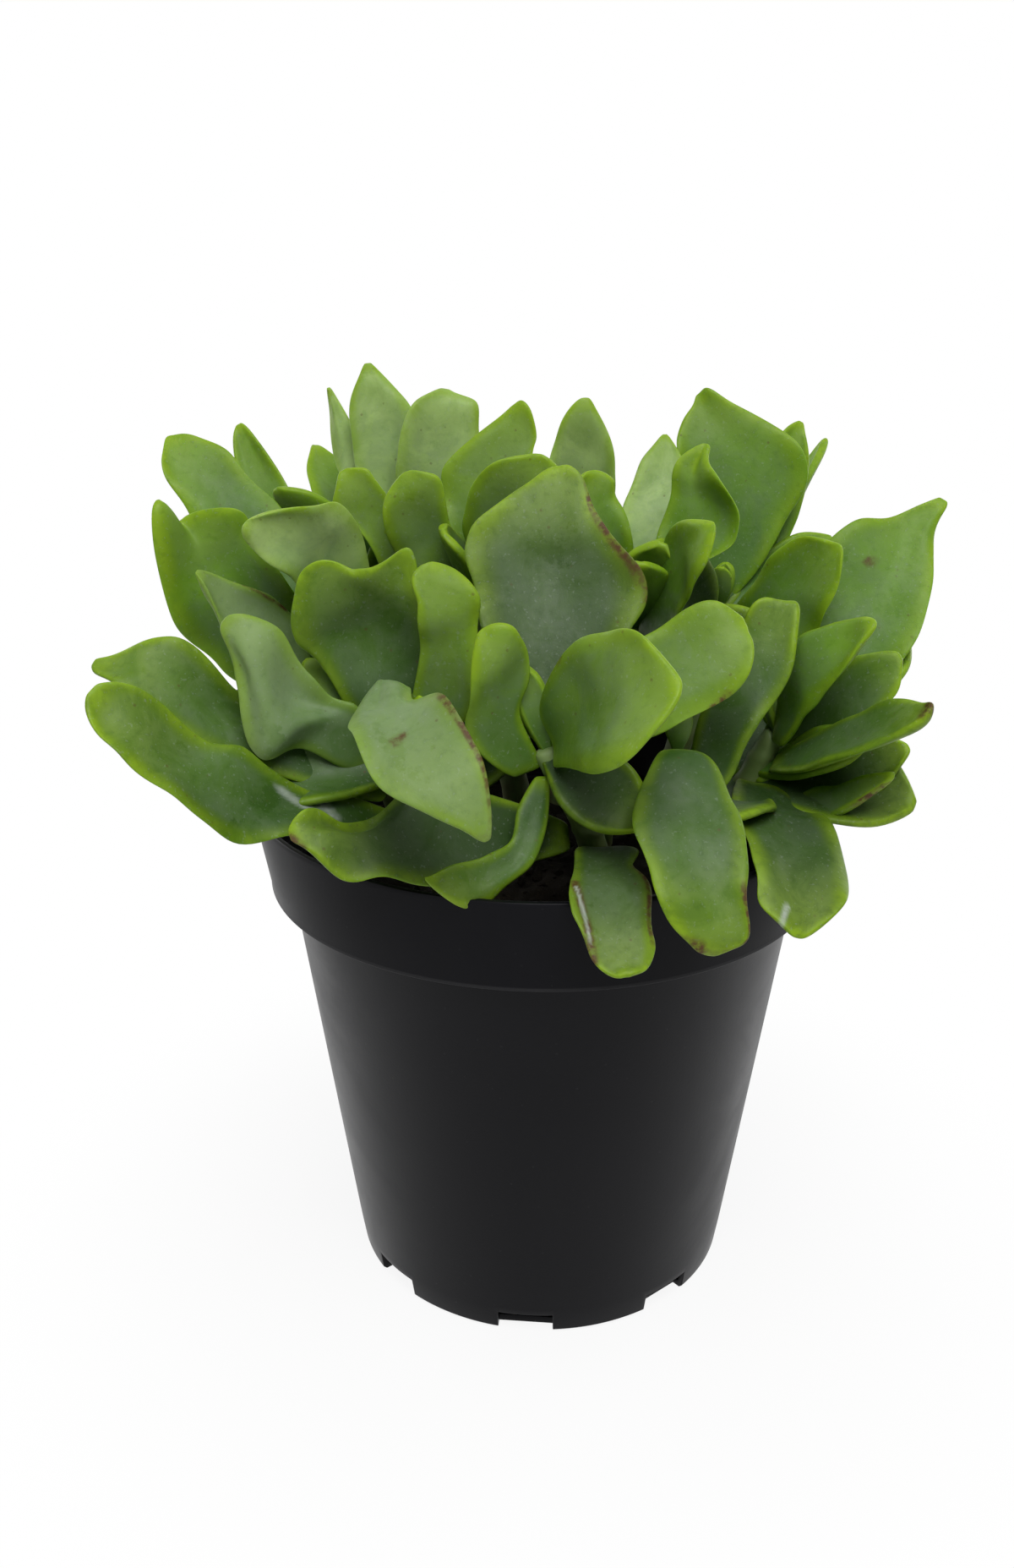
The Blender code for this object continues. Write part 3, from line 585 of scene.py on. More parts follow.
def speckle_group():
    """Scattered small specks, as a mask, with fine grain as a height."""
    if "jade specks" in bpy.data.node_groups:
        return bpy.data.node_groups["jade specks"]
    group, nodes, given, result = new_group(
        "jade specks", {"Scale": "Float", "Size": "Float", "Grain": "Float"},
        {"Specks": "Float", "Height": "Float"})
    place = nodes.coordinates()
    cells = nodes.add("ShaderNodeTexVoronoi", {"Vector": place, "Scale": given["Scale"]})
    spread = nodes.noise(given["Scale"], place)
    near = nodes.maths("SUBTRACT", given["Size"], cells.outputs["Distance"])
    nodes.feed(result, {
        "Specks": nodes.times(nodes.remap(near, 0, 0.08), nodes.remap(spread, 0.5, 0.62)),
        "Height": nodes.noise(given["Grain"], place, detail=4)})
    return group


def specks(nodes, scale, size, grain):
    """The outputs of the speckle group at these values."""
    return nodes.add("ShaderNodeGroup", {"Scale": scale, "Size": size, "Grain": grain},
                     node_tree=speckle_group()).outputs


def skin_group():
    """A leaf's colour, roughness and height from its flesh, margin, bloom and marks, with painted
    shade towards the neck and painted light at the margin and tip.
    """
    if "jade leaf skin" in bpy.data.node_groups:
        return bpy.data.node_groups["jade leaf skin"]
    group, nodes, given, result = new_group(
        "jade leaf skin",
        {"Flesh": "Color", "Margin": "Color", "Bloom": "Color", "Scar": "Color",
         "Scuff": "Color", "Bloom amount": "Float", "Shade": "Float"},
        {"Color": "Color", "Roughness": "Float", "Height": "Float"})
    place = nodes.coordinates()
    margin = nodes.attribute("margin")
    along = nodes.attribute("along")
    broad = nodes.noise(45, place, detail=4)
    patchy = nodes.noise(130, place, detail=6, roughness=0.65, distortion=0.8)
    fine = nodes.noise(700, place, detail=4, roughness=0.6)
    deeper = nodes.blend(1.0, given["Flesh"], (0.32, 0.44, 0.25, 1), "MULTIPLY")

    # flesh, deeper in random patches, and darker towards the neck as painted shade of the crowded
    # middle of the plant
    uneven = nodes.plus(nodes.remap(broad, 0.38, 0.66, 0, 0.55),
                        nodes.remap(patchy, 0.4, 0.66, 0, 0.35))
    # painted shade: the flesh turns darker towards the neck
    low = nodes.remap(along, 0.15, 0.85, 0.75, 0)
    uneven = nodes.maths("MINIMUM", nodes.plus(nodes.times(uneven, given["Shade"]), low), 1)
    skin = nodes.blend(uneven, given["Flesh"], deeper)

    # bloom, thin at the margin and rubbed off in places, and thin towards the neck as painted
    # shade
    waxy = nodes.times(nodes.remap(patchy, 0.34, 0.6, 0.25, 1), given["Bloom amount"])
    waxy = nodes.times(waxy, nodes.remap(margin, 0.15, 0.7, 1, 0.15))
    # painted shade: less bloom towards the neck, which darkens the lower leaf
    waxy = nodes.times(waxy, nodes.remap(along, 0.15, 0.6, 0.4, 1))
    rubbed = nodes.remap(nodes.noise(80, place, detail=6, roughness=0.7), 0.58, 0.63, 1, 0.25)
    waxy = nodes.times(waxy, rubbed)
    skin = nodes.blend(waxy, skin, given["Bloom"])

    # painted light: margin and tip painted a lighter yellow-green, less so under more bloom, for
    # the light that shines through them
    painted_glow = nodes.plus(nodes.remap(margin, 0.15, 1.0, 0, 0.5),
                      nodes.remap(along, 0.62, 1.0, 0, 0.5))
    painted_glow = nodes.times(painted_glow, nodes.remap(patchy, 0.3, 0.62, 0.45, 1))
    painted_glow = nodes.times(painted_glow, nodes.remap(given["Bloom amount"], 0.2, 0.75, 1, 0.4))
    skin = nodes.blend(painted_glow, skin, given["Margin"])

    # grain, flecks and marks
    skin = nodes.blend(nodes.times(nodes.remap(fine, 0.5, 0.75), 0.28), skin, deeper)
    flecks = nodes.remap(nodes.noise(1400, place, detail=2), 0.6, 0.74, 0, 0.13)
    skin = nodes.blend(flecks, skin, given["Scuff"])
    speckle = specks(nodes, 420, 0.16, 900)
    skin = nodes.blend(nodes.times(speckle["Specks"], 0.45), skin, given["Scar"])
    scar = nodes.times(nodes.attribute("scar"), nodes.remap(fine, 0.36, 0.6, 0.35, 1))
    skin = nodes.blend(scar, skin, given["Scar"])
    scuff = nodes.times(nodes.attribute("scuff"), nodes.remap(patchy, 0.3, 0.7, 0.25, 0.8))
    nodes.feed(result, {
        "Color": nodes.blend(scuff, skin, given["Scuff"]),
        "Roughness": nodes.plus(nodes.remap(fine, 0.3, 0.7, 0.42, 0.52), nodes.times(waxy, 0.2)),
        "Height": nodes.plus(nodes.times(patchy, 0.5), nodes.times(speckle["Height"], 0.25))})
    return group


def new_material(name):
    """A material with an empty Principled shader, and the builder of its nodes."""
    material = bpy.data.materials.new(name)
    material.use_nodes = True
    nodes = Nodes(material.node_tree)
    return material, nodes, material.node_tree.nodes["Principled BSDF"].inputs


def leaf_material(name, flesh, bloom_amount, shade):
    """The waxy skin of a leaf over translucent flesh."""
    if name in bpy.data.materials:
        return bpy.data.materials[name]
    leaves = bpy.context.scene.jade_leaves
    material, nodes, shader = new_material(name)
    skin = nodes.add("ShaderNodeGroup", {
        "Flesh": colour(flesh), "Margin": colour(leaves.margin), "Bloom": colour(leaves.bloom),
        "Scar": colour(leaves.scar), "Scuff": colour(leaves.scuff),
        "Bloom amount": bloom_amount, "Shade": shade}, node_tree=skin_group()).outputs
    nodes.feed(shader, {
        "Base Color": skin["Color"], "Roughness": skin["Roughness"],
        "Normal": nodes.bump(skin["Height"], 0.35 * MM, 0.55), "Subsurface Weight": 0.22,
        "Subsurface Radius": (0.6, 1, 0.15), "Subsurface Scale": 2 * MM,
        "Specular IOR Level": 0.22})
    return material


def finish(kind):
    """The material of a kind of leaf."""
    leaves = bpy.context.scene.jade_leaves
    # Lighter copies of the green paint the light on leaves where it falls, and the darker one
    # paints the shade on leaves low in the plant
    kinds = {
        "green": ("green leaf", leaves.green, 0.22, 0.9),
        "fresh": ("fresh leaf", leaves.fresh, 0.25, 0.8),
        "bright": ("bright leaf", leaves.bright, 0.2, 0.8),
        "frosted_painted_light": ("frosted leaf", leaves.frosted_painted_light, 0.3, 0.7),
        "bloomed": ("bloomed leaf", leaves.grey, 0.22, 0.9),
        "painted_shade": ("deep green leaf", leaves.painted_shade, 0.14, 0.9),
        "pale": ("pale leaf", leaves.pale, 0.5, 0.8),
    }
    return leaf_material(*kinds[kind])


def leaf_finish(label):
    """The material of a grown leaf."""
    for kind, names in FINISHES.items():
        if label in names:
            return finish(kind)
    return finish("green")


def plastic_material():
    """Satin black plastic with a light dusting and handling marks, and a painted highlight along
    the foot of the rim band.
    """
    pot = bpy.context.scene.jade_pot
    material, nodes, shader = new_material("black pot plastic")
    place = nodes.coordinates()
    smears = nodes.noise(22, place, detail=6, roughness=0.65, distortion=0.8)
    speckle = specks(nodes, 420, 0.14, 1800)
    dusty = nodes.plus(nodes.times(nodes.remap(smears, 0.45, 0.75), 0.06),
                       nodes.times(speckle["Specks"], 0.3))
    # painted highlight: a thin pale line along the foot of the rim band, where its edge would
    # catch the light
    edge = POT_HIGH.z - pot.band + 0.3 * MM
    off_edge = nodes.maths("ABSOLUTE", nodes.maths("SUBTRACT", nodes.height(place), edge))
    painted_edge_highlight = nodes.remap(off_edge, 0.15 * MM, 0.55 * MM, 0.7, 0)
    nodes.feed(shader, {
        "Base Color": nodes.blend(nodes.plus(dusty, painted_edge_highlight), colour(pot.plastic), colour(pot.dust_and_highlight)),
        "Roughness": nodes.remap(smears, 0.3, 0.75, 0.3, 0.42),
        "Normal": nodes.bump(speckle["Height"], 0.04 * MM, 0.25), "Specular IOR Level": 0.1})
    return material


def soil_material():
    """Dark peat with paler fibres and crumbs."""
    pot = bpy.context.scene.jade_pot
    material, nodes, shader = new_material("peat soil")
    place = nodes.coordinates()
    lumps = nodes.noise(160, place, detail=6, roughness=0.7)
    fibre = nodes.remap(nodes.noise(520, place, detail=4, distortion=2), 0.6, 0.72)
    dark = colour(pot.peat)
    pale = (pot.peat[0] * 3.2, pot.peat[1] * 3.1, pot.peat[2] * 2.8, 1)
    mixed = nodes.blend(nodes.remap(lumps, 0.35, 0.75, 0, 0.45), dark, pale)
    mixed = nodes.blend(nodes.times(fibre, 0.5), mixed, (0.05, 0.038, 0.022, 1))
    nodes.feed(shader, {"Base Color": mixed, "Normal": nodes.bump(lumps, 0.8 * MM, 0.9),
                        "Roughness": 0.95, "Specular IOR Level": 0.2})
    return material


def stem_material():
    """Green stem that turns corky towards the soil."""
    leaves = bpy.context.scene.jade_leaves
    material, nodes, shader = new_material("green stem skin")
    place = nodes.coordinates()
    patches = nodes.noise(130, place, detail=5, roughness=0.6)
    low = nodes.remap(nodes.height(place), SOIL_HIGH.z, SOIL_HIGH.z + 30 * MM, 0.85, 0.1)
    corky = nodes.times(low, nodes.remap(patches, 0.3, 0.6))
    nodes.feed(shader, {
        "Base Color": nodes.blend(corky, colour(leaves.stem), colour(leaves.bark)),
        "Roughness": nodes.remap(patches, 0.3, 0.7, 0.45, 0.7),
        "Normal": nodes.bump(patches, 0.4 * MM, 0.6), "Subsurface Weight": 0.1,
        "Subsurface Scale": 1.5 * MM})
    return material


# Pot


def pot_rings(pot):
    """The pot's outline as (radius, height), up the outside and down the inside."""
    top, step = POT_HIGH.z, POT_HIGH.z - pot.band
    rim = POT_HIGH.x
    bead = pot.band_foot + 0.12 * MM
    over_notches = pot.notch_height + 1.5 * MM
    body = pot.base + (pot.body - pot.base) * over_notches / step
    return [
        (pot.base, POT_CORNER), (body, over_notches), (pot.body, step),
        (bead, step), (bead, step + 0.4 * MM), (pot.band_foot + 0.05 * MM, step + 0.9 * MM),
        (rim, top - POT_CORNER), (rim - 0.25 * MM, top),
        (rim - pot.wall, top), (rim - pot.wall, top - POT_CORNER),
        (pot.band_foot - pot.wall, step + pot.wall), (pot.body - pot.wall, step + pot.wall),
        (pot.base - pot.wall, pot.floor),
    ]


class JADE_OT_pot(Operator):
    """Model the moulded pot ring by ring, cut its notches and round its edges"""

    bl_idname = "jade.pot"
    bl_label = "Pot"

    def execute(self, context):
        pot = context.scene.jade_pot
        radius = pot.base - POT_CORNER
        shell = primitive(bpy.ops.mesh.primitive_circle_add, "pot_shell", vertices=160,
                          radius=radius, fill_type="NGON")
        with editing(shell):
            extrude_rings(radius, 0.0, pot_rings(pot))
        self.cut_notches(shell, pot)
        apply_modifier(shell, "BEVEL", width=pot.rounding, segments=3, limit_method="ANGLE",
                       angle_limit=math.radians(35), use_clamp_overlap=True)
        only(shell)
        bpy.ops.object.shade_smooth_by_angle(angle=math.radians(40))
        finished(shell, plastic_material(), "pot", "pot")
        return {"FINISHED"}

    def cut_notches(self, shell, pot):
        """Cuts the notches around the foot with boxes, as a Boolean."""
        cutters = []
        length = 10 * MM
        middle = pot.base - pot.notch_depth + length / 2
        for k in range(pot.notches):
            turn = pot.notch_turn + k * math.tau / pot.notches
            place = (math.sin(turn) * middle, -math.cos(turn) * middle, 0)
            box = primitive(bpy.ops.mesh.primitive_cube_add, f"notch_{k}", size=1,
                            location=place, rotation=(0, 0, turn))
            box.scale = (pot.notch_width, length, 2 * pot.notch_height)
            cutters.append(box)
        cutter = joined(cutters, "notch_cutter")
        only(cutter)
        bpy.ops.object.transform_apply(location=True, rotation=True, scale=True)
        apply_modifier(shell, "BOOLEAN", object=cutter, operation="DIFFERENCE")
        bpy.data.objects.remove(cutter)


# Soil


class JADE_OT_soil(Operator):
    """Model the lumpy top of the soil and scatter loose crumbs over it"""

    bl_idname = "jade.soil"
    bl_label = "Soil"

    def execute(self, context):
        edge = SOIL_HIGH.x
        radius = edge * 0.985
        foot = radius * 0.74
        steps = 40  # rings from the edge of the top to its middle
        level = SOIL_HIGH.z - 2.5 * MM
        bed = primitive(bpy.ops.mesh.primitive_circle_add, "soil_bed", vertices=120,
                        radius=foot, fill_type="NOTHING", location=(0, 0, SOIL_LOW.z))
        bpy.ops.object.transform_apply(location=True)
        rings = [(radius, level - 4 * MM), (radius, level - 2 * MM)]
        rings += [(radius * math.cos(k / steps * math.pi / 2), level) for k in range(1, steps)]
        with editing(bed):
            extrude_rings(foot, SOIL_LOW.z, rings)
        top = bed.vertex_groups.new(name="top")
        high = [v.index for v in bed.data.vertices if v.co.z > level - 1 * MM]
        top.add(high, 1, "REPLACE")
        for label, grain, strength in (("lumps", 9, 5), ("crumbs", 2.2, 2.2)):
            texture = bpy.data.textures.new("soil " + label, "CLOUDS")
            texture.noise_scale = grain * MM
            texture.noise_depth = 3
            apply_modifier(bed, "DISPLACE", texture=texture, texture_coords="LOCAL",
                           direction="Z", strength=strength * MM, vertex_group="top")
        bed.vertex_groups.clear()
        bpy.ops.object.shade_smooth()
        material = soil_material()
        self.scatter(bed, edge * 0.96, context.scene.jade_pot.crumbs, material)
        finished(bed, material, "soil", "soil")
        return {"FINISHED"}

    def scatter(self, bed, reach, count, material):
        """Copies one rough crumb over the soil, turned and scaled."""
        tree = search_tree([vertex.co * Vector((1, 1, 0)) for vertex in bed.data.vertices])
        crumb = primitive(bpy.ops.mesh.primitive_ico_sphere_add, "crumb", subdivisions=1,
                          radius=1 * MM)
        for vertex in crumb.data.vertices:
            vertex.co *= 1 + 0.5 * noise.noise(vertex.co / MM)
        crumbs = []
        for k in range(count):
            turn = k * GOLDEN_TURN
            out = reach * math.sqrt((k + 0.5) / count)
            x, y = out * math.cos(turn), out * math.sin(turn)
            ground = bed.data.vertices[tree.find((x, y, 0))[1]].co.z
            grow = 0.5 + 1.1 * noise.cell(Vector((k * 3.7, 0.5, 0.5))) ** 2
            place = Matrix.LocRotScale(Vector((x, y, ground + 0.2 * MM)),
                                       Quaternion(compass(k * 71, k * 37), k * 1.3),
                                       Vector((grow, grow * 0.8, grow * 0.6)))
            copy = own_copy(crumb, f"crumb_{k}")
            copy.data.transform(place)
            crumbs.append(copy)
        bpy.data.objects.remove(crumb)
        finished(joined(crumbs, "soil_crumbs"), material, "soil")


# Stems


class JADE_OT_stems(Operator):
    """Give each stem its joints, its uneven skin and a rounded growing end"""

    bl_idname = "jade.stems"
    bl_label = "Stems"

    def execute(self, context):
        material = stem_material()
        joint_spacing = 5.5 * MM
        for node in STEMS:
            stem = copied_node(node, node + "_skin")
            smoothed(stem, 2)
            middle = stem_middle(node)
            for vertex in stem.data.vertices:
                away = vertex.co - middle(vertex.co.z)
                away.z = 0
                ring = math.sin(vertex.co.z / joint_spacing * math.tau)
                swell = 0.12 * max(ring, 0) ** 4 + 0.1 * noise.noise(vertex.co / (4 * MM))
                vertex.co += away * swell
            finished(stem, material, "stem", node)
        return {"FINISHED"}


def places_of(mesh):
    """Where each vertex is now."""
    return [vertex.co.copy() for vertex in mesh.vertices]


def average(places):
    return sum(places, Vector()) / len(places)


def stem_middle(node):
    """A function from height to the middle of a stem at that height."""
    points = places_of(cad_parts[node].data)
    low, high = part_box(node)
    steps = 16
    levels = []
    for k in range(steps):
        near = low.z + (high.z - low.z) * (k + 0.5) / steps
        reach = (high.z - low.z) / steps
        slab = [p for p in points if abs(p.z - near) < reach * 1.2]
        if slab:
            levels.append(average(slab))

    def middle(height):
        for below, above in zip(levels, levels[1:]):
            if height <= above.z:
                share = min(max((height - below.z) / max(above.z - below.z, WELD), 0), 1)
                return below.lerp(above, share)
        return levels[-1]

    return middle


def stem_top(node):
    """The middle of a stem's top end."""
    points = places_of(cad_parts[node].data)
    high = max(point.z for point in points)
    return average([point for point in points if point.z > high - 2.5 * MM])


def stem_point(node, up):
    """The middle of a stem at a share of its height."""
    low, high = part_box(node)
    return stem_middle(node)(low.z + (high.z - low.z) * up)


# Leaves


def margin_values(mesh):
    """1 at the sharp edges of a leaf's blade, 0 inside."""
    faces = {}
    for face in mesh.polygons:
        for key in face.edge_keys:
            faces.setdefault(key, []).append(face.normal)
    values = [0.0] * len(mesh.vertices)
    for (one, other), normals in faces.items():
        if len(normals) == 2 and normals[0].angle(normals[1], 0) > SHARP_EDGE:
            values[one] = values[other] = 1.0
    return values


def along_values(mesh, neck):
    """How far each vertex lies from the neck, 0 to 1 at the tip."""
    away = [(vertex.co - neck).length for vertex in mesh.vertices]
    far = max(away)
    return [value / far for value in away]


def nearest(mesh, stem):
    """The part of a leaf that is nearest its stem: its vertices, and the point they surround."""
    tree = search_tree([vertex.co for vertex in stem.data.vertices])
    order = sorted(mesh.vertices, key=lambda vertex: tree.find(vertex.co)[2])
    neck = order[:NECK_VERTICES]
    return neck, average([vertex.co for vertex in neck])


def blade_axes(mesh, neck):
    """A leaf's directions to its tip and, seen tip up from the front, to its right."""
    tip = max((vertex.co for vertex in mesh.vertices), key=lambda place: (place - neck).length)
    ahead = (tip - neck).normalized()
    seen = [face.normal * face.area for face in mesh.polygons if face.normal.y < 0]
    facing = sum(seen, Vector())
    return ahead, ahead.cross(facing).normalized()


def pull(obj, neck, pulls):
    """Drags places of a leaf, with a smooth falloff around each."""
    places = places_of(obj.data)
    flat, half, length = blade_places(obj.data, neck)
    for one in map(Pull._make, pulls):
        goal = Vector((one.across * half, one.along * length))
        centre = places[min(range(len(flat)), key=lambda k: (flat[k] - goal).length)]
        move = Vector((one.right, one.back, one.up)) * MM
        for k, vertex in enumerate(obj.data.vertices):
            near = 1 - (places[k] - centre).length / (one.radius * MM)
            if near > 0:
                vertex.co += move * fade(near, 0, 0.8)


def blade_places(mesh, neck):
    """Each vertex as (across, along) in metres, with the leaf's half width and length."""
    ahead, right = blade_axes(mesh, neck)
    away = [vertex.co - neck for vertex in mesh.vertices]
    across = [place.dot(right) for place in away]
    along = [place.dot(ahead) for place in away]
    half = (max(across) - min(across)) / 2
    middle = max(across) - half
    return [Vector((x - middle, y)) for x, y in zip(across, along)], half, max(along)


def draw_marks(obj, neck, label):
    """Paints the scars and scuffs of a leaf, and its dry margin."""
    places, half, length = blade_places(obj.data, neck)
    values = {"scar": [0.0] * len(places), "scuff": [0.0] * len(places)}
    for stroke in map(Stroke._make, STROKES.get(label, ())):
        start = Vector((stroke.start[1] * half, stroke.start[0] * length))
        end = Vector((stroke.end[1] * half, stroke.end[0] * length))
        for k, place in enumerate(places):
            share = (place - start).dot(end - start) / (end - start).length_squared
            near = start.lerp(end, min(max(share, 0), 1))
            level = fade(1 - (place - near).length / (stroke.width * MM), 0, 0.7)
            values[stroke.kind][k] = max(values[stroke.kind][k], level)
    if label in DRY_MARGINS:
        low, high, side = DRY_MARGINS[label]
        margin = mask_values(obj, "margin")
        for k, place in enumerate(places):
            if place.x * side > 0:
                share = place.y / length
                level = fade(share, low, low + 0.1) * fade(high - share, -0.05, 0.05)
                values["scar"][k] = max(values["scar"][k], level * fade(margin[k], 0.7, 0.95))
    for kind, levels in values.items():
        mask(obj, kind, levels)


def ripple_margins(obj, height):
    """Waves in the margins and a gentle unevenness in the blade."""
    leaves = bpy.context.scene.jade_leaves
    margin = mask_values(obj, "margin")
    along = mask_values(obj, "along")
    wave_length, bump_length, wobble_length = 11 * MM, 5 * MM, 6 * MM
    normals = [vertex.normal.copy() for vertex in obj.data.vertices]
    places = places_of(obj.data)
    up = sum(((n if n.z > 0 else -n) for n in normals), Vector()).normalized()
    for k, vertex in enumerate(obj.data.vertices):
        free = fade(along[k], 0.15, 0.5)
        wave = noise.noise(places[k] / wave_length + Vector((7, 3, 1)))
        small = noise.noise(places[k] / bump_length)
        wobble = noise.noise_vector(places[k] / wobble_length) * margin[k]
        vertex.co += up * height * fade(margin[k], 0, 1) * free * wave
        vertex.co += (normals[k] * small + wobble * 1.2) * leaves.undulation * free


class JADE_OT_leaves(Operator):
    """Turn each leaf solid into a fleshy leaf with a rippled margin, painted lighter for the light
    that shines through it
    """

    bl_idname = "jade.leaves"
    bl_label = "Leaves"

    def execute(self, context):
        leaves = context.scene.jade_leaves
        noise.seed_set(NOISE_SEED)  # else noise_vector starts from the clock
        for node in LEAVES:
            label = node.removeprefix("leaf_")
            leaf = copied_node(node, node + "_skin")
            mesh = leaf.data
            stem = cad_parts["stem_" + label.rpartition("_")[0]]
            necks, neck = nearest(mesh, stem)
            mask(leaf, "margin", margin_values(mesh))
            mask(leaf, "along", along_values(mesh, neck))
            middle = stem_middle(stem.name)
            inward = (middle(neck.z) - neck).normalized()
            for vertex in necks:
                vertex.co += inward * leaves.neck
            smoothed(leaf, 1)
            pull(leaf, neck, PULLS.get(label, ()))
            ripple_margins(leaf, leaves.wave)
            smoothed(leaf, 2)
            draw_marks(leaf, neck, label)
            finished(leaf, leaf_finish(label), "leaf", node)
        return {"FINISHED"}


# Young leaves


def outline(along):
    """Half width of a young leaf at a share of its length, as a share of the widest."""
    widest, neck = 0.58, 0.3
    if along < widest:
        return neck + (1 - neck) * math.sin(0.5 * math.pi * along / widest) ** 1.3
    beyond = (along - widest) / (1 - widest)
    return max(1 - beyond ** 2.6, 0.02) ** 0.6


def model_young_leaf():
    """A flat leaf of length and width 1 on a grid, its base at the origin, its tip at +Y."""
    leaf = primitive(bpy.ops.mesh.primitive_grid_add, "flat_leaf", x_subdivisions=6,
                     y_subdivisions=9, size=1, location=(0, 0.5, 0))
    bpy.ops.object.transform_apply(location=True)
    for vertex in leaf.data.vertices:
        vertex.co.x *= outline(vertex.co.y)
    return leaf


def grown(leaf, young, base, thickness):
    """Bends a flat leaf into its place, and gives it its thickness and its masks."""
    ahead = compass(young.turn, young.rise)
    face = compass(young.faces, young.tilt)
    face = (face - ahead * face.dot(ahead)).normalized()
    right = ahead.cross(face)
    tall, wide = young.length * MM, young.width * MM
    bend = math.radians(young.bend)
    cup = 0.9
    swing_length, swing_height = 8 * MM, 5 * MM
    for vertex in leaf.data.vertices:
        across, along = vertex.co.x, vertex.co.y
        middle = base + Quaternion(right, bend * along / 2) @ ahead * (along * tall)
        cupped = face * (across ** 2 * cup * wide)
        swing = noise.noise((middle + right * across * wide) / swing_length) * swing_height
        vertex.co = middle + right * (across * wide) + cupped
        vertex.co += face * (swing * abs(across) * fade(along, 0.1, 0.6))
    apply_modifier(leaf, "SOLIDIFY", thickness=thickness, offset=0)
    mask(leaf, "margin", margin_values(leaf.data))
    mask(leaf, "along", along_values(leaf.data, base))
    smoothed(leaf, 2)
    for name in ("scar", "scuff"):
        mask(leaf, name, [0.0] * len(leaf.data.vertices))
    return leaf


class JADE_OT_young_leaves(Operator):
    """Grow the small leaves between the large ones, and a pair of buds on each crown that has a
    bud turn
    """

    bl_idname = "jade.young_leaves"
    bl_label = "Young leaves"

    def execute(self, context):
        leaves = context.scene.jade_leaves
        flat = model_young_leaf()
        kinds = {}
        for k, values in enumerate(YOUNG_LEAVES):
            young = Young(*values)
            base = stem_point("stem_" + young.stem, young.up)
            leaf = grown(own_copy(flat, f"young_{k}"), young, base, leaves.young)
            kinds.setdefault(young.kind, []).append(leaf)
        for stem, turn in BUD_TURNS.items():
            base = stem_top("stem_" + stem)
            length = leaves.bud / MM
            for side in (0, 180):
                bud = Young(stem, 1, length, turn + side, rise=62, width=length * 0.5,
                            faces=turn + side + 180, tilt=28, bend=25)
                leaf = grown(own_copy(flat, f"bud_{stem}_{side}"), bud, base, leaves.young * 0.8)
                kinds.setdefault("fresh", []).append(leaf)
        bpy.data.objects.remove(flat)
        for kind, group in kinds.items():
            finished(joined(group, "young_leaves_" + kind), finish(kind), "leaf")
        return {"FINISHED"}


# Studio


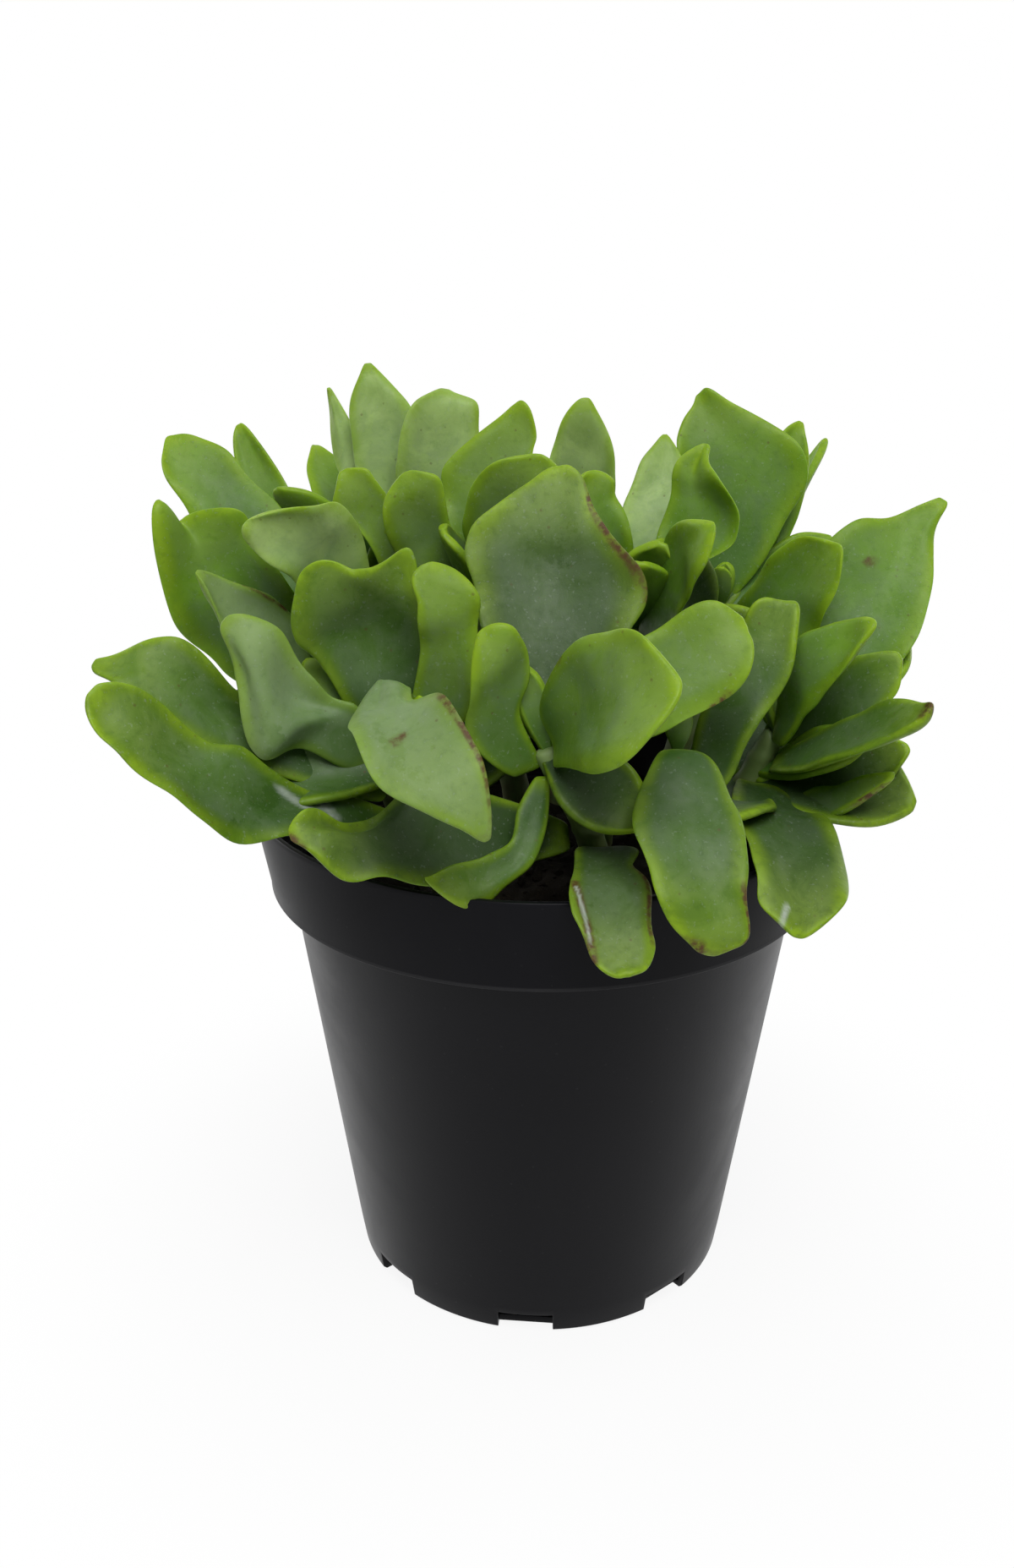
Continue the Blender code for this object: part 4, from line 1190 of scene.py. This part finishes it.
class JADE_OT_studio(Operator):
    """Set up the floor, the even white surroundings, the lamps and the camera"""

    bl_idname = "jade.studio"
    bl_label = "Studio"

    def execute(self, context):
        studio = context.scene.jade_studio
        context.scene.view_settings.view_transform = "Standard"
        self.make_world(context.scene, studio.sky)
        self.make_floor()
        self.make_lamp("lamp_above", (0.05, -0.4, 0.8), studio.key)
        self.make_lamp("lamp_left", (-0.6, 0.5, 0.3), studio.fill)
        self.make_lamp("lamp_right", (0.6, 0.5, 0.3), studio.fill)
        camera = bpy.data.objects.new("camera", bpy.data.cameras.new("camera"))
        context.scene.collection.objects.link(camera)
        camera.data.lens = studio.lens
        camera.data.sensor_width = 36
        camera.data.clip_start = 0.01
        camera.matrix_world = (
            Matrix.Translation((0, -studio.away, studio.height))
            @ Matrix.Rotation(studio.yaw, 4, "Z")
            @ Matrix.Rotation(math.pi / 2 - studio.pitch, 4, "X")
            @ Matrix.Rotation(studio.roll, 4, "Z"))
        context.scene.camera = camera
        return {"FINISHED"}

    def make_world(self, scene, strength):
        """Even light, with plain white where the camera, gloss or glass sees it."""
        world = bpy.data.worlds.new("white studio")
        world.use_nodes = True
        scene.world = world
        nodes = Nodes(world.node_tree)
        level = nodes.add("ShaderNodeMapRange", {"Value": nodes.seen(), "To Min": strength,
                                                 "To Max": 1.0}).outputs["Result"]
        nodes.feed(world.node_tree.nodes["Background"].inputs,
                   {"Color": WHITE, "Strength": level})

    def make_floor(self):
        """A pale floor that keeps the shadow near the pot and fades to white."""
        floor = primitive(bpy.ops.mesh.primitive_circle_add, "floor", vertices=64, radius=3,
                          fill_type="NGON")
        material, nodes, shader = new_material("pale floor")
        nodes.feed(shader, {"Base Color": (0.9, 0.9, 0.9, 1), "Roughness": 0.9})
        away = nodes.add("ShaderNodeVectorMath", {0: nodes.coordinates()},
                         operation="LENGTH").outputs["Value"]
        share = nodes.times(nodes.seen(), nodes.remap(away, 0.04, 0.14, 0.9, 1))
        white = nodes.add("ShaderNodeEmission", {"Color": WHITE, "Strength": 1.0})
        ready = material.node_tree.nodes
        mix = nodes.add("ShaderNodeMixShader", {
            0: share, 1: ready["Principled BSDF"].outputs[0], 2: white.outputs[0]})
        nodes.feed(ready["Material Output"].inputs, {"Surface": mix.outputs[0]})
        floor.data.materials.append(material)

    def make_lamp(self, name, place, power):
        """A square soft lamp that looks at the plant."""
        light = bpy.data.lights.new(name, "AREA")
        light.size = 0.5
        light.energy = power
        lamp = bpy.data.objects.new(name, light)
        bpy.context.scene.collection.objects.link(lamp)
        lamp.location = place
        toward = Vector((0, 0, 0.1)) - Vector(place)
        lamp.rotation_euler = toward.to_track_quat("-Z", "Y").to_euler()


class JADE_PT_panel(Panel):
    """The steps, in their order"""

    bl_idname = "JADE_PT_panel"
    bl_label = "Ripple jade"
    bl_space_type = "VIEW_3D"
    bl_region_type = "UI"
    bl_category = "Ripple jade"

    def draw(self, context):
        for step in STEPS:
            self.layout.operator(step.bl_idname)
        for name in GROUPS:
            group = getattr(context.scene, name)
            for key in group.__annotations__:
                self.layout.prop(group, key)


STEPS = (JADE_OT_studio, JADE_OT_pot, JADE_OT_soil, JADE_OT_stems, JADE_OT_leaves,
         JADE_OT_young_leaves)
GROUPS = {"jade_pot": JadePot, "jade_leaves": JadeLeaves, "jade_studio": JadeStudio}


def register():
    for group in GROUPS.values():
        bpy.utils.register_class(group)
    for kind in (*STEPS, JADE_PT_panel):
        bpy.utils.register_class(kind)
    for name, group in GROUPS.items():
        setattr(bpy.types.Scene, name, PointerProperty(type=group))


def unregister():
    for name in GROUPS:
        delattr(bpy.types.Scene, name)
    for kind in (JADE_PT_panel, *reversed(STEPS), *reversed(GROUPS.values())):
        bpy.utils.unregister_class(kind)


def main():
    register()
    bpy.ops.jade.studio()
    bpy.ops.jade.pot()
    bpy.ops.jade.soil()
    bpy.ops.jade.stems()
    bpy.ops.jade.leaves()
    bpy.ops.jade.young_leaves()


if __name__ == "__main__":
    main()
